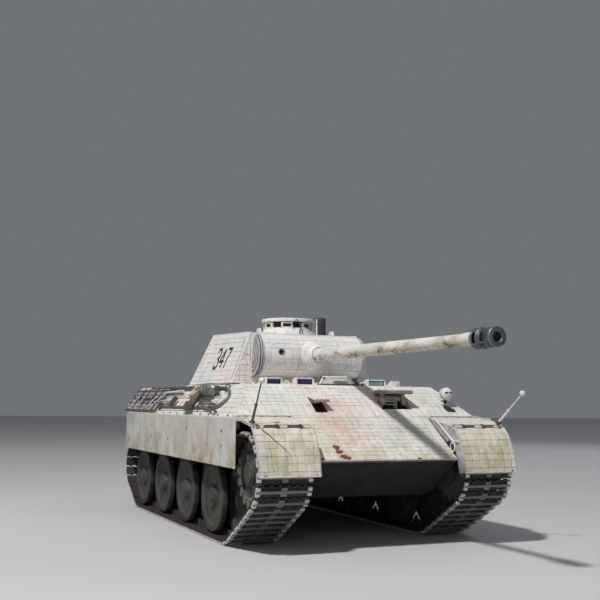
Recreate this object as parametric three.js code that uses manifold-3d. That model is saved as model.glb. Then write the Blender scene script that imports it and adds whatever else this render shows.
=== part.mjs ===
// A 1:16 radio-controlled medium tank with a turret, a long gun and interleaved road wheels.
// Units are millimetres. Forward is -Y, the tank's left side is +X, +Z is up and the ground is z = 0.
import * as THREE from "three";
import { ConvexGeometry } from "three/addons/geometries/ConvexGeometry.js";
import { mergeVertices } from "three/addons/utils/BufferGeometryUtils.js";
import Module from "manifold-3d";

const wasm = await Module();
wasm.setup();

// ---- driving dimensions -------------------------------------------------------------------------
const GAP = 0.3;
const WALL = 2.2;
const RIGHT = -1;
const LEFT = 1;
const SIDES = [
  ["right", RIGHT],
  ["left", LEFT],
];

// hull: the armour planes are given by two heights and their slopes from the vertical
const ROOF_Z = 116.1;
const SPONSON_Z = 91.75;
const NOSE_Z = 62.9;
const BELLY_Z = 34;
const ROOF_HALF = 81;
const SPONSON_HALF = 100.25;
const TUB_HALF = 57;
const NOSE_HALF = 56.3;
const GLACIS_TOP_Y = -64.3;
const REAR_TOP_Y = 258;
const REAR_END_Y = 270.7;
const GLACIS_TAN = Math.tan(THREE.MathUtils.degToRad(55));
const REAR_TAN = Math.tan(THREE.MathUtils.degToRad(30));
const NOSE_TAN = 1.44;
const SIDE_TAN = (SPONSON_HALF - ROOF_HALF) / (ROOF_Z - SPONSON_Z);
const GLACIS_THICK_Y = WALL / Math.sin(THREE.MathUtils.degToRad(35));
const TUB_TOP_Z = SPONSON_Z - GAP;

// fenders, skirts
const FENDER_INNER = TUB_HALF + GAP;
const FENDER_OUTER = 102.3;
const FLAP_HINGE = { y: -133.4, z: 85.8 };
const FLAP_TIP = { y: -149.3, z: 53.4 };
const SKIRT_X = 105.5;
const SKIRT_THICK = 1.2;
const SKIRT_FRONT_Y = -113.1;
const SKIRT_REAR_Y = 211.6;
const SKIRT_BOTTOM_Z = 56.9;
const SKIRT_TOP_Z = 90.9;
const SKIRT_SEAM_PITCH = 55;
const SKIRT_SEAM_Y = -52;

// running gear
const CABLE_LIFT = 1.9;
const TRACK_X = 81.5;
const TRACK_WIDTH = 41.2;
const TRACK_THICK = 3.7;
const LINK_COUNT = 87;
const LINK_PLATE = 2.3;
const WHEEL_COUNT = 8;
const WHEEL_R = 26.5;
const WHEEL_PITCH = 35;
const FIRST_WHEEL_Y = -72;
const WHEEL_RUN_R = 27.2;
const WHEEL_Z = TRACK_THICK + WHEEL_RUN_R;
const AXLE_R = 2.2;
const SPROCKET = { y: -116.5, z: 54, run: 25.2, tip: 24.3, root: 21.6, teeth: 17 };
const IDLER = { y: 206, z: 40, run: 19.2, r: 18.4 };

// turret
const TURRET_Z = 118.6;
const DECK_TOP_Z = TURRET_Z - GAP;
const RING = { y: 67, hole: 49, collar: 48.4, bore: 41, flange: 52, gearRoot: 44, gearTip: 46.2, teeth: 36 };
const PINION = { y: RING.y - 52.7, tip: 8.2, root: 6, teeth: 6 };
const TURRET_CORNERS = {
  frontY: 12.5,
  frontTopY: 10.6,
  frontHalf: 65.6,
  frontTopHalf: 49.9,
  frontTopZ: 161.75,
  rearY: 139.1,
  rearTopY: 121.7,
  rearHalf: 63.3,
  rearTopHalf: 45.7,
  rearTopZ: 165.9,
};
const ROOF_TAN = (165.9 - 161.75) / (121.7 - 10.6);
const REAR_PLATE_TILT = Math.atan2(139.1 - 121.7, 165.9 - TURRET_Z);
const CUPOLA = { x: 18.8, y: 92.1, r: 24.4, hatch: 16.5, top: 181.6 };
const LID_POST = { x: 33.8, y: 118.1, r: 2.6 };
const LID_SWING = THREE.MathUtils.degToRad(-150);

// gun
const TRUNNION = { y: 8.3, z: 142.4 };
const MANTLET_R = 17.9;
const MANTLET_HALF = 49.25;
const MUZZLE_Y = -270.7;
const BRAKE_REAR_Y = -247;

// ---- materials ----------------------------------------------------------------------------------
function finish(color, roughness, metalness) {
  return new THREE.MeshStandardMaterial({ color, roughness, metalness });
}
const PAINT = {
  whitewash: () => finish(0xdedad2, 0.9, 0),
  fenderWash: () => finish(0xd6cfc0, 0.9, 0),
  skirt: () => finish(0xc4cac4, 0.85, 0.1),
  trackSteel: () => finish(0x4a4340, 0.6, 0.8),
  darkSteel: () => finish(0x33343a, 0.5, 0.8),
  hullDark: () => finish(0x4b4945, 0.8, 0.2),
  wheelPaint: () => finish(0x8d897c, 0.8, 0.1),
  plasticBlack: () => finish(0x1c1d20, 0.6, 0),
  brass: () => finish(0xb28a44, 0.4, 0.9),
  blueWrap: () => finish(0x27508c, 0.4, 0),
  greenBoard: () => finish(0x1f6a3c, 0.5, 0),
  lens: () => finish(0xcfd6dc, 0.2, 0.3),
};

// ---- solids -------------------------------------------------------------------------------------
function solid(geometry) {
  const bare = geometry.clone();
  bare.deleteAttribute("normal");
  bare.deleteAttribute("uv");
  const merged = mergeVertices(bare, 1e-4);
  return new wasm.Manifold(
    new wasm.Mesh({
      numProp: 3,
      vertProperties: merged.attributes.position.array,
      triVerts: new Uint32Array(merged.index.array),
    }),
  );
}

function join(...parts) {
  return parts.flat().reduce((sum, part) => sum.add(part));
}

function cut(body, ...tools) {
  return tools.flat().reduce((rest, tool) => rest.subtract(tool), body);
}

function box(x, y, z) {
  const geometry = new THREE.BoxGeometry(Math.abs(x[1] - x[0]), y[1] - y[0], z[1] - z[0]);
  geometry.translate((x[0] + x[1]) / 2, (y[0] + y[1]) / 2, (z[0] + z[1]) / 2);
  return solid(geometry);
}

function hull(points) {
  return solid(new ConvexGeometry(points.map((p) => new THREE.Vector3(...p))));
}

// An outline without the points that lie on a straight stretch of it.
function cornersOf(outline) {
  return outline.filter(([u, v], i) => {
    const [pu, pv] = outline.at(i - 1);
    const [nu, nv] = outline[(i + 1) % outline.length];
    return Math.abs((u - pu) * (nv - v) - (v - pv) * (nu - u)) > 1e-3;
  });
}

function extruded(outline, depth, holes = []) {
  const vectors = (points) => cornersOf(points).map(([u, v]) => new THREE.Vector2(u, v));
  const border = vectors(outline);
  if (THREE.ShapeUtils.isClockWise(border)) border.reverse();
  const shape = new THREE.Shape(border);
  shape.holes = holes.map((hole) => new THREE.Path(vectors(hole)));
  return new THREE.ExtrudeGeometry(shape, { depth, bevelEnabled: false });
}

// outline in (y, z), carried from x[0] to x[1]
function prismX(outline, x, holes) {
  const geometry = extruded(outline, Math.abs(x[1] - x[0]), holes);
  geometry.applyMatrix4(new THREE.Matrix4().set(0, 0, 1, Math.min(...x), 1, 0, 0, 0, 0, 1, 0, 0, 0, 0, 0, 1));
  return solid(geometry);
}

// outline in (x, y), carried from z[0] to z[1]
function prismZ(outline, z, holes) {
  const geometry = extruded(outline, z[1] - z[0], holes);
  geometry.translate(0, 0, z[0]);
  return solid(geometry);
}

// outline in (x, z), carried from y[0] to y[1]
function prismY(outline, y, holes) {
  const geometry = extruded(outline, y[1] - y[0], holes);
  geometry.rotateX(Math.PI / 2);
  geometry.translate(0, y[1], 0);
  return solid(geometry);
}

function aimed(geometry, axis, at) {
  if (axis === "x") geometry.rotateZ(-Math.PI / 2);
  if (axis === "z") geometry.rotateX(Math.PI / 2);
  geometry.translate(...at);
  return solid(geometry);
}

function rod(axis, at, r, length, segments = 16, r2 = r) {
  return aimed(new THREE.CylinderGeometry(r, r2, length, segments), axis, at);
}

// profile in (radius, height along the axis), in either direction
function turned(axis, at, profile, segments = 16) {
  const points = profile.map(([r, h]) => new THREE.Vector2(r, h));
  if (THREE.ShapeUtils.isClockWise(points)) points.reverse();
  return aimed(new THREE.LatheGeometry(points, segments), axis, at);
}

function ball(at, r, squash = 1) {
  const geometry = new THREE.SphereGeometry(r, 12, 8);
  geometry.scale(1, squash, 1);
  geometry.translate(...at);
  return solid(geometry);
}

function strutBetween(a, b, r, segments = 8) {
  const from = new THREE.Vector3(...a);
  const to = new THREE.Vector3(...b);
  const geometry = new THREE.CylinderGeometry(r, r, from.distanceTo(to), segments);
  const turn = new THREE.Quaternion().setFromUnitVectors(
    new THREE.Vector3(0, 1, 0),
    to.clone().sub(from).normalize(),
  );
  geometry.applyQuaternion(turn);
  geometry.translate(...from.add(to).multiplyScalar(0.5).toArray());
  return solid(geometry);
}

function tubeAlong(points, r, sides, steps) {
  const section = new THREE.Shape();
  section.absarc(0, 0, r, 0, Math.PI * 2);
  const curve = new THREE.CatmullRomCurve3(points.map((p) => new THREE.Vector3(...p)));
  return solid(
    new THREE.ExtrudeGeometry(section, { curveSegments: sides / 2, steps, extrudePath: curve, bevelEnabled: false }),
  );
}

function circle(u, v, r, segments = 20) {
  return Array.from({ length: segments }, (_, i) => {
    const a = (i / segments) * Math.PI * 2;
    return [u + r * Math.cos(a), v + r * Math.sin(a)];
  });
}

function gearOutline(u, v, root, tip, teeth) {
  const outline = [];
  for (let i = 0; i < teeth; i++) {
    for (const [step, r] of [[-0.34, root], [-0.13, tip], [0.13, tip], [0.34, root]]) {
      const a = ((i + step) / teeth) * Math.PI * 2;
      outline.push([u + r * Math.cos(a), v + r * Math.sin(a)]);
    }
  }
  return outline;
}

const model = new THREE.Group();

function node(name, body, material, parent = model) {
  const data = body.getMesh();
  const geometry = new THREE.BufferGeometry();
  geometry.setAttribute("position", new THREE.BufferAttribute(data.vertProperties, 3));
  geometry.setIndex(new THREE.BufferAttribute(data.triVerts, 1));
  geometry.computeVertexNormals();
  const mesh = new THREE.Mesh(geometry, material);
  mesh.name = name;
  parent.add(mesh);
  return mesh;
}

// ---- hull planes --------------------------------------------------------------------------------
const glacisY = (z) => GLACIS_TOP_Y - (ROOF_Z - z) * GLACIS_TAN;
const glacisZ = (y) => ROOF_Z + (y - GLACIS_TOP_Y) / GLACIS_TAN;
const rearY = (z) => REAR_TOP_Y - (ROOF_Z - z) * REAR_TAN;
const sideX = (z) => ROOF_HALF + (ROOF_Z - z) * SIDE_TAN;
const turretRoofZ = (y) => TURRET_CORNERS.frontTopZ + (y - TURRET_CORNERS.frontTopY) * ROOF_TAN;

// where the glacis, moved back by `back`, meets the lower nose plate
function noseCorner(back) {
  const drop = back / (GLACIS_TAN + NOSE_TAN);
  return [glacisY(NOSE_Z) + drop * NOSE_TAN, NOSE_Z - drop];
}

function glacisPlate(x, ySpan, lift, thick) {
  const rise = lift / Math.cos(Math.atan(1 / GLACIS_TAN));
  const top = rise + thick / Math.cos(Math.atan(1 / GLACIS_TAN));
  return prismX(
    [
      [ySpan[0], glacisZ(ySpan[0]) + rise],
      [ySpan[1], glacisZ(ySpan[1]) + rise],
      [ySpan[1], glacisZ(ySpan[1]) + top],
      [ySpan[0], glacisZ(ySpan[0]) + top],
    ],
    x,
  );
}

// ---- hull ---------------------------------------------------------------------------------------
function lowerHullTub() {
  const back = GLACIS_THICK_Y * (1 + GAP / WALL);
  const bellyFrontY = glacisY(NOSE_Z) + (NOSE_Z - BELLY_Z) * NOSE_TAN;
  const outline = [
    [bellyFrontY, BELLY_Z],
    [rearY(BELLY_Z), BELLY_Z],
    [rearY(TUB_TOP_Z) - GAP, TUB_TOP_Z],
    [glacisY(TUB_TOP_Z) + back, TUB_TOP_Z],
    noseCorner(back),
  ];
  const floorZ = BELLY_Z + WALL;
  const inside = [
    [bellyFrontY + 1, floorZ],
    [rearY(floorZ) - 2.6, floorZ],
    [rearY(100) - 2.6, 100],
    [glacisY(100) + back, 100],
    [noseCorner(back)[0] + 3.4, noseCorner(back)[1] + 0.3],
  ];
  const shell = prismX(outline, [-TUB_HALF, TUB_HALF]);
  const hollow = prismX(inside, [-TUB_HALF + WALL, TUB_HALF - WALL]);
  const added = SIDES.flatMap(([, side]) => [
    rod("x", [side * 59.5, SPROCKET.y, SPROCKET.z], 12, 6, 18),
    rod("x", [side * 72, IDLER.y, IDLER.z], AXLE_R, 30, 10),
    rod("x", [side * 60.5, IDLER.y, IDLER.z], 5, 8, 12),
    prismX(
      [[-114, 50], [-113, 64], [-128, 76], [-136, 71], [-131, 61]],
      [side * (NOSE_HALF + GAP), side * 60.4],
      [circle(-129.5, 69.5, 2.4, 10)],
    ),
  ]);
  const removed = SIDES.map(([, side]) => rod("x", [side * 58, SPROCKET.y, SPROCKET.z], 3.2, 12, 12));
  const switchSlot = box([-3.5, 3.5], [112, 124], [BELLY_Z - 1, BELLY_Z + 4]);
  return cut(join(cut(shell, hollow), added), removed, switchSlot);
}

function upperHullShell() {
  const floorTop = SPONSON_Z + 1.8;
  const inTop = ROOF_Z - WALL;
  const sideIn = (z) => sideX(z) - 2.8;
  const outer = hull(
    [-1, 1].flatMap((s) => [
      [s * ROOF_HALF, glacisY(ROOF_Z), ROOF_Z],
      [s * ROOF_HALF, REAR_TOP_Y, ROOF_Z],
      [s * SPONSON_HALF, glacisY(SPONSON_Z), SPONSON_Z],
      [s * SPONSON_HALF, rearY(SPONSON_Z), SPONSON_Z],
    ]),
  );
  const inner = hull(
    [-1, 1].flatMap((s) => [
      [s * sideIn(inTop), glacisY(inTop) + GLACIS_THICK_Y, inTop],
      [s * sideIn(inTop), rearY(inTop) - 2.6, inTop],
      [s * sideIn(floorTop), glacisY(floorTop) + GLACIS_THICK_Y, floorTop],
      [s * sideIn(floorTop), rearY(floorTop) - 2.6, floorTop],
    ]),
  );
  const nose = prismX(
    [
      [glacisY(SPONSON_Z + 1), SPONSON_Z + 1],
      [glacisY(NOSE_Z), NOSE_Z],
      noseCorner(GLACIS_THICK_Y),
      [glacisY(SPONSON_Z + 1) + GLACIS_THICK_Y, SPONSON_Z + 1],
    ],
    [-NOSE_HALF, NOSE_HALF],
  );
  const tubOpening = box(
    [-TUB_HALF + 0.5, TUB_HALF - 0.5],
    [glacisY(SPONSON_Z) + GLACIS_THICK_Y, rearY(SPONSON_Z) - 2.6],
    [SPONSON_Z - 1, floorTop + 1],
  );
  const sidePieces = SIDES.flatMap(([, side]) => [
    prismX(
      [[-96, 91.8], [-96, 93], [-99.4, 92.5], [FLAP_HINGE.y + 1.7, 87.6], [FLAP_HINGE.y + 1.7, 86.2]],
      [side * FENDER_INNER, side * FENDER_OUTER],
    ),
    box(
      [side * 97, side * (SKIRT_X - GAP)],
      [SKIRT_FRONT_Y, SKIRT_REAR_Y],
      [89.6, 92.2],
    ),
  ]);
  const body = join(cut(outer, inner, tubOpening), nose, sidePieces, roofFittings());
  return cut(body, hullOpenings());
}

// periscope hoods along the glacis edge and the small lamp box beside them
function roofFittings() {
  const hood = (x, half, z) =>
    prismY(
      [
        [x - half, ROOF_Z - 0.5],
        [x + half, ROOF_Z - 0.5],
        [x + half, z - 1.6],
        [x + half - 1.6, z],
        [x - half + 1.6, z],
        [x - half, z - 1.6],
      ],
      [-58, -51],
    );
  const lugs = SIDES.map(([, side]) => box([side * 20.4, side * 22.4], [-61.6, -58.4], [ROOF_Z - 0.5, ROOF_Z + 2.4]));
  return [hood(-56, 6.4, 121), hood(-30, 7.2, 121.4), hood(33.5, 7.6, 121), hood(51.5, 3.4, 120.6), ...lugs];
}

function hullOpenings() {
  const hatches = SIDES.map(([, side]) => box([side * 45 - 13, side * 45 + 13], [-45, -21], [ROOF_Z - 5, ROOF_Z + 3]));
  const ring = rod("z", [0, RING.y, ROOF_Z], RING.hole, 10, 40);
  const deck = box([-54, 54], [146, 246], [ROOF_Z - 5, ROOF_Z + 3]);
  const visor = box([21.5, 48], [-90, -76.6], [90, 112]);
  const bowPort = box([-36.5, -26.5], [-94, -80], [88, 110]);
  return [...hatches, ring, deck, visor, bowPort];
}

function engineDeck() {
  const z = [ROOF_Z + GAP, ROOF_Z + 1.8];
  const plate = box([-57, 57], [142.5, 250], z);
  const locators = [-1, 1].map((s) => box([s * 44 - 6, s * 44 + 6], [150, 242], [ROOF_Z - 3, ROOF_Z + 1]));
  const fans = [-1, 1].map((s) => rod("z", [s * 30, 196, ROOF_Z + 1.8], 18.5, 2.4, 28));
  const louvres = [-1, 1].flatMap((s) =>
    [160, 232].map((y) => box([s * 32 - 17, s * 32 + 17], [y - 8, y + 8], [ROOF_Z + 1, DECK_TOP_Z])),
  );
  const hatch = box([-8.5, 8.5], [152, 240], [ROOF_Z + 1, DECK_TOP_Z]);
  return join(plate, locators, fans, louvres, hatch);
}

function sideSkirt(side) {
  const inner = side * SKIRT_X;
  const outer = side * (SKIRT_X + SKIRT_THICK);
  const panel = box([inner, outer], [SKIRT_FRONT_Y, SKIRT_REAR_Y], [SKIRT_BOTTOM_Z, SKIRT_TOP_Z]);
  const seams = [0, 1, 2, 3, 4].map((k) => {
    const y = SKIRT_SEAM_Y + k * SKIRT_SEAM_PITCH;
    return box([outer - side * 0.5, outer + side], [y - 0.4, y + 0.4], [SKIRT_BOTTOM_Z - 1, SKIRT_TOP_Z + 1]);
  });
  return cut(panel, seams);
}

function fenderFlap(side) {
  const curve = new THREE.QuadraticBezierCurve(
    new THREE.Vector2(FLAP_HINGE.y - 0.6, FLAP_HINGE.z - 0.4),
    new THREE.Vector2(-145, 78),
    new THREE.Vector2(FLAP_TIP.y, FLAP_TIP.z),
  );
  const steps = [0, 1, 2, 3, 4, 5, 6];
  const front = steps.map((i) => curve.getPoint(i / 6).toArray());
  const back = steps.map((i) => {
    const [y, z] = curve.getPoint(1 - i / 6).toArray();
    const t = curve.getTangent(1 - i / 6);
    return [y - t.y * 1.1, z + t.x * 1.1];
  });
  const x = [side * FENDER_INNER, side * FENDER_OUTER];
  const sheet = prismX([...front, ...back], x);
  const knuckles = [62, 79.5, 97].map((k) => rod("x", [side * k, FLAP_HINGE.y, FLAP_HINGE.z], 1.3, 6, 10));
  return join(sheet, knuckles);
}

function widthRod(side) {
  const foot = [side * 100.5, -129.5, 89.4];
  const top = side === RIGHT ? [side * 95.5, -134, 117.5] : [side * 105, -154, 111.2];
  const middle = foot.map((v, i) => v + (top[i] - v) * 0.42);
  const base = box([side * 99, side * 102], [-131.5, -127.5], [88.7, 90.2]);
  return join(base, strutBetween(foot, middle, 1.05), strutBetween(foot, top, 0.6), ball(top, 2.2));
}

function headlight() {
  const lamp = ball([81.2, -86, 111], 5.2);
  const stem = rod("z", [81.2, -84.6, 105.2], 1.1, 4, 8);
  const foot = glacisPlate([78, 84.4], [-88, -81], GAP, 1.2);
  return join(lamp, stem, foot);
}

function visorFlap() {
  const slab = box([19.5, 50], [-93, -75.2], [110.4, 113.2]);
  const hinge = rod("x", [34.75, -74.6, 110.6], 1.2, 26, 10);
  const cheeks = [24.2, 45.2].map((x) =>
    prismX([[-87.6, 111], [-79, 111], [-79, 108], [-87.6, 102], [-88.6, 103]], [x - 0.7, x + 0.7]),
  );
  return join(slab, hinge, cheeks);
}

function bowPortFlap() {
  const slope = Math.atan(1 / GLACIS_TAN);
  const geometry = new THREE.BoxGeometry(11.4, 17, 1.8);
  geometry.translate(0, -8.5, 0.9);
  geometry.rotateX(slope - THREE.MathUtils.degToRad(24));
  geometry.translate(-31.5, -78.2, glacisZ(-78.2) + 0.9);
  return join(solid(geometry), rod("x", [-31.5, -78.4, glacisZ(-78.4) + 1.9], 1, 9, 8));
}

function crewHatch(side) {
  const plate = prismZ(
    [[31, -46], [56, -46], [59, -43], [59, -23], [56, -20], [31, -20]].map(([x, y]) => [side * x, y]),
    [ROOF_Z + GAP, ROOF_Z + 1.9],
  );
  const knuckles = [-40, -26].map((y) => rod("y", [side * 60, y, ROOF_Z + 1.5], 1.1, 6, 8));
  const plug = box([side * 45 - 12, side * 45 + 12], [-44, -22], [ROOF_Z - 1.6, ROOF_Z + 1]);
  return join(plate, knuckles, plug);
}

function travelLock() {
  const frame = prismY(
    [[-18, 116.9], [-14.5, 123], [14, 123], [17.5, 116.9], [8, 116.9], [6.5, 119.9], [-5.5, 119.9], [-7, 116.9]],
    [-60.9, -59.1],
  );
  return join(frame, rod("x", [0, -60, 117.4], 0.9, 40, 8));
}

function stowageBin(side) {
  const clear = (z) => rearY(z) + GAP / Math.cos(Math.atan(REAR_TAN));
  const outline = [
    [clear(74), 74],
    [REAR_END_Y, 76],
    [REAR_END_Y, 110],
    [REAR_END_Y - 2, 113],
    [clear(113), 113],
  ];
  return prismX(outline, [side * 27, side * 72]);
}

function exhaustPipes() {
  const clear = (z) => rearY(z) + GAP / Math.cos(Math.atan(REAR_TAN));
  const base = prismX([[clear(60), 60], [clear(60) + 8, 62], [clear(80) + 5, 80], [clear(80), 80]], [-19, 19]);
  const pipes = [-11, 11].map((x) =>
    tubeAlong([[x, 238, 72], [x, 252, 78], [x, 262, 92], [x, 264.5, 110], [x, 265, 124]], 3.2, 8, 8),
  );
  return join(base, pipes);
}

// Offsets a point of the sloping right hull side outwards by `lift`.
function onRightSide(y, z, lift) {
  const slope = Math.atan(SIDE_TAN);
  return [-(sideX(z) + lift * Math.cos(slope)), y, z + lift * Math.sin(slope)];
}

function towCable() {
  const route = [
    [14, 112.5], [0, 112.8], [-14, 113], [-32, 112.4], [-46, 109.4], [-52, 104], [-46, 99.2], [-32, 97.6],
    [-10, 97.2], [20, 97], [50, 97], [80, 97], [112, 97],
  ].map(([y, z]) => onRightSide(y, z, CABLE_LIFT));
  const eye = ([y, z]) => {
    const ring = extruded(circle(0, 0, 4, 12), 1.8, [circle(0, 0, 2, 8)]);
    ring.translate(0, 0, -0.9);
    ring.rotateY(-Math.PI / 2 + Math.atan(SIDE_TAN));
    ring.translate(...onRightSide(y, z, CABLE_LIFT));
    return solid(ring);
  };
  return join(tubeAlong(route, 1.25, 8, 30), eye([17, 112.5]), eye([115, 97]));
}

function toolRack() {
  const [x, , z] = onRightSide(0, 113, 3.6);
  const tube = rod("y", [x, 115, z], 2.3, 150, 10);
  const brackets = [46, 115, 184].map((y) => {
    const foot = [onRightSide(y, 110, GAP + 0.1), onRightSide(y, 110, 3), onRightSide(y, 115, 3), onRightSide(y, 115, GAP + 0.1)];
    return hull(foot.flatMap(([px, , pz]) => [[px, y - 2.5, pz], [px, y + 2.5, pz]]));
  });
  return join(tube, brackets);
}

// ---- inside the hull ----------------------------------------------------------------------------
function powerSwitch() {
  const knob = box([-2.4, 2.4], [113, 117.5], [31.8, 38]);
  const keeper = box([-5, 5], [109, 121], [BELLY_Z + WALL + GAP, BELLY_Z + WALL + 2]);
  return join(knob, keeper);
}

function batteryPack() {
  const cells = [-12, 0, 12].map((x) => rod("y", [x, 165, 44], 7.4, 70, 10));
  const band = box([-18, 18], [140, 190], [37, 44]);
  return join(cells, band);
}

function receiverBoard() {
  const board = box([-26, 26], [34, 100], [39, 40.8]);
  const parts = [
    box([-14, 2], [46, 62], [40, 44]),
    box([6, 20], [44, 58], [40, 47]),
    box([-20, -8], [72, 92], [40, 49]),
    rod("z", [6, 84, 46], 5, 13, 12),
  ];
  const feet = [[-23, 37], [23, 37], [-23, 97], [23, 97]].map(([x, y]) => rod("z", [x, y, 38], 2, 3, 8));
  return join(board, parts, feet);
}

function driveGearbox(side) {
  const housing = prismX(
    [[-121, 53.5], [-110, 46], [-82, 40], [-82, 72], [-112, 72], [-121, 66]],
    [side * 24, side * (TUB_HALF - WALL - GAP)],
  );
  return join(housing, rod("y", [side * 38, -62, 56], 12, 44, 16), rod("y", [side * 38, -38.5, 56], 3, 5, 8));
}

function turretMotor() {
  const can = rod("z", [0, PINION.y, 92], 9, 24, 16);
  const arm = box([-8, 8], [-8, PINION.y], [88, 92]);
  const post = box([-8, 8], [-10, -7], [88, ROOF_Z - WALL - GAP]);
  return join(can, arm, post);
}

function turretPinion() {
  const gear = prismZ(gearOutline(0, PINION.y, PINION.root, PINION.tip, PINION.teeth), [105.5, 110.5]);
  return join(gear, rod("z", [0, PINION.y, 108], 2.5, 7.2, 8));
}

// ---- running gear -------------------------------------------------------------------------------
const wheelY = (k) => FIRST_WHEEL_Y + k * WHEEL_PITCH;
const isWide = (k) => k % 2 === 1;

// Discs outside the guide horns on a wide wheel, and between them on a narrow one.
function roadWheel(k, side) {
  const wide = isWide(k);
  const outer = wide ? 16.3 : 7;
  const inner = wide ? 11.3 : 2;
  const hub = wide ? 6 : 12;
  const blind = wide ? 8 : 4;
  const profile = [
    [0, outer + 1],
    [7, outer + 1],
    [9, outer - 2.6],
    [23.2, outer - 1.6],
    [WHEEL_R, outer],
    [WHEEL_R, inner],
    [hub, inner],
    [hub, -inner],
    [WHEEL_R, -inner],
    [WHEEL_R, -outer],
    [AXLE_R + GAP, -outer],
    [AXLE_R + GAP, blind],
    [0, blind],
  ];
  return sidedTurned(side, [wheelY(k), WHEEL_Z], profile, 12);
}

// Turns a profile about an axle on one side of the hull; heights grow away from the hull.
function sidedTurned(side, [y, z], profile, segments) {
  return turned(
    "x",
    [side * TRACK_X, y, z],
    profile.map(([r, h]) => [r, side * h]),
    segments,
  );
}

function sprocket(side) {
  const { y, z, root, tip, teeth } = SPROCKET;
  const rings = [-15, 13].map((h) => {
    const x0 = side * (TRACK_X + h);
    return prismX(gearOutline(y, z, root, tip, teeth), [x0, x0 + side * 2.4]);
  });
  const drum = sidedTurned(
    side,
    [y, z],
    [[0, 17.6], [8, 17.6], [10, 15], [15, 14], [15, -14], [9, -16.5], [2.6, -16.5], [2.6, -26.5], [0, -26.5]],
    14,
  );
  return join(rings, drum);
}

function idler(side) {
  const profile = [
    [0, 12],
    [6, 12],
    [7.5, 5],
    [15, 5],
    [15.5, 7],
    [IDLER.r, 7],
    [IDLER.r, 3.2],
    [8, 2],
    [8, -2],
    [IDLER.r, -3.2],
    [IDLER.r, -7],
    [AXLE_R + GAP, -7],
    [AXLE_R + GAP, 6],
    [0, 6],
  ];
  return sidedTurned(side, [IDLER.y, IDLER.z], profile, 14);
}

// A longitudinal beam with one trailing arm and one axle per road wheel.
function suspension(side) {
  const beam = box([side * (TUB_HALF + GAP), side * 59], [wheelY(0) - 26, wheelY(7) + 6], [40, 46]);
  const arms = Array.from({ length: WHEEL_COUNT }, (_, k) => {
    const y = wheelY(k);
    const arm = hull(
      [side * 58.4, side * 61.6].flatMap((x) => [
        ...circle(y, WHEEL_Z, 4.2, 6).map(([v, w]) => [x, v, w]),
        ...circle(y - 20, 43, 3.4, 6).map(([v, w]) => [x, v, w]),
      ]),
    );
    const reach = isWide(k) ? TRACK_X + 6 : TRACK_X + 2;
    return join(arm, rod("x", [side * (60 + reach) / 2, y, WHEEL_Z], AXLE_R, reach - 60, 8));
  });
  return join(beam, arms);
}

// Centre line of the track's inner face: an anticlockwise loop in (y, z) seen from the tank's left.
function trackPath() {
  const first = { y: wheelY(0), z: WHEEL_Z, r: WHEEL_RUN_R };
  const last = { y: wheelY(WHEEL_COUNT - 1), z: WHEEL_Z, r: WHEEL_RUN_R };
  const drive = { ...SPROCKET, r: SPROCKET.run };
  const rear = { ...IDLER, r: IDLER.run };
  const restY = wheelY(2) - 6;
  const restZ = WHEEL_Z + WHEEL_RUN_R + 0.4;
  const intoFirst = tangentAngle(first, drive);
  const intoRear = tangentAngle(rear, last);
  const path = new THREE.Path();
  path.moveTo(last.y, last.z - last.r);
  path.lineTo(first.y, first.z - first.r);
  path.absarc(first.y, first.z, first.r, -Math.PI / 2, intoFirst, true);
  path.absarc(drive.y, drive.z, drive.r, intoFirst, Math.PI * 0.42, true);
  const leave = path.getPoint(1);
  path.bezierCurveTo(leave.x + 22, leave.y - 5.6, restY - 34, restZ, restY, restZ);
  path.lineTo(rear.y, rear.z + rear.r);
  path.absarc(rear.y, rear.z, rear.r, Math.PI / 2, intoRear, true);
  path.absarc(last.y, last.z, last.r, intoRear, -Math.PI / 2, true);
  return path;
}

// Angle of the contact points of the common outer tangent that runs clockwise from circle a to circle b.
function tangentAngle(a, b) {
  const along = Math.atan2(b.z - a.z, b.y - a.y);
  const apart = Math.hypot(b.z - a.z, b.y - a.y);
  return along + Math.acos((a.r - b.r) / apart);
}

// A plain belt with one raised pad for each link.
function trackLoop(side) {
  const path = trackPath();
  const at = (u, depth) => {
    const p = path.getPointAt(u);
    const t = path.getTangentAt(u);
    return [p.x - t.y * depth, p.y + t.x * depth];
  };
  const x = [side * (TRACK_X - TRACK_WIDTH / 2), side * (TRACK_X + TRACK_WIDTH / 2)];
  const links = Array.from({ length: LINK_COUNT }, (_, i) => i);
  const belt = prismX(
    links.map((i) => at((i + 0.5) / LINK_COUNT, LINK_PLATE)),
    x,
    [links.map((i) => at((i + 0.5) / LINK_COUNT, 0))],
  );
  const pads = links.map((i) =>
    hull(
      x.flatMap((px) =>
        [0.12, 0.88].flatMap((share) => [
          [px, ...at((i + share) / LINK_COUNT, LINK_PLATE - 1)],
          [px, ...at((i + share) / LINK_COUNT, TRACK_THICK)],
        ]),
      ),
    ),
  );
  return join(belt, pads);
}

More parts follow.
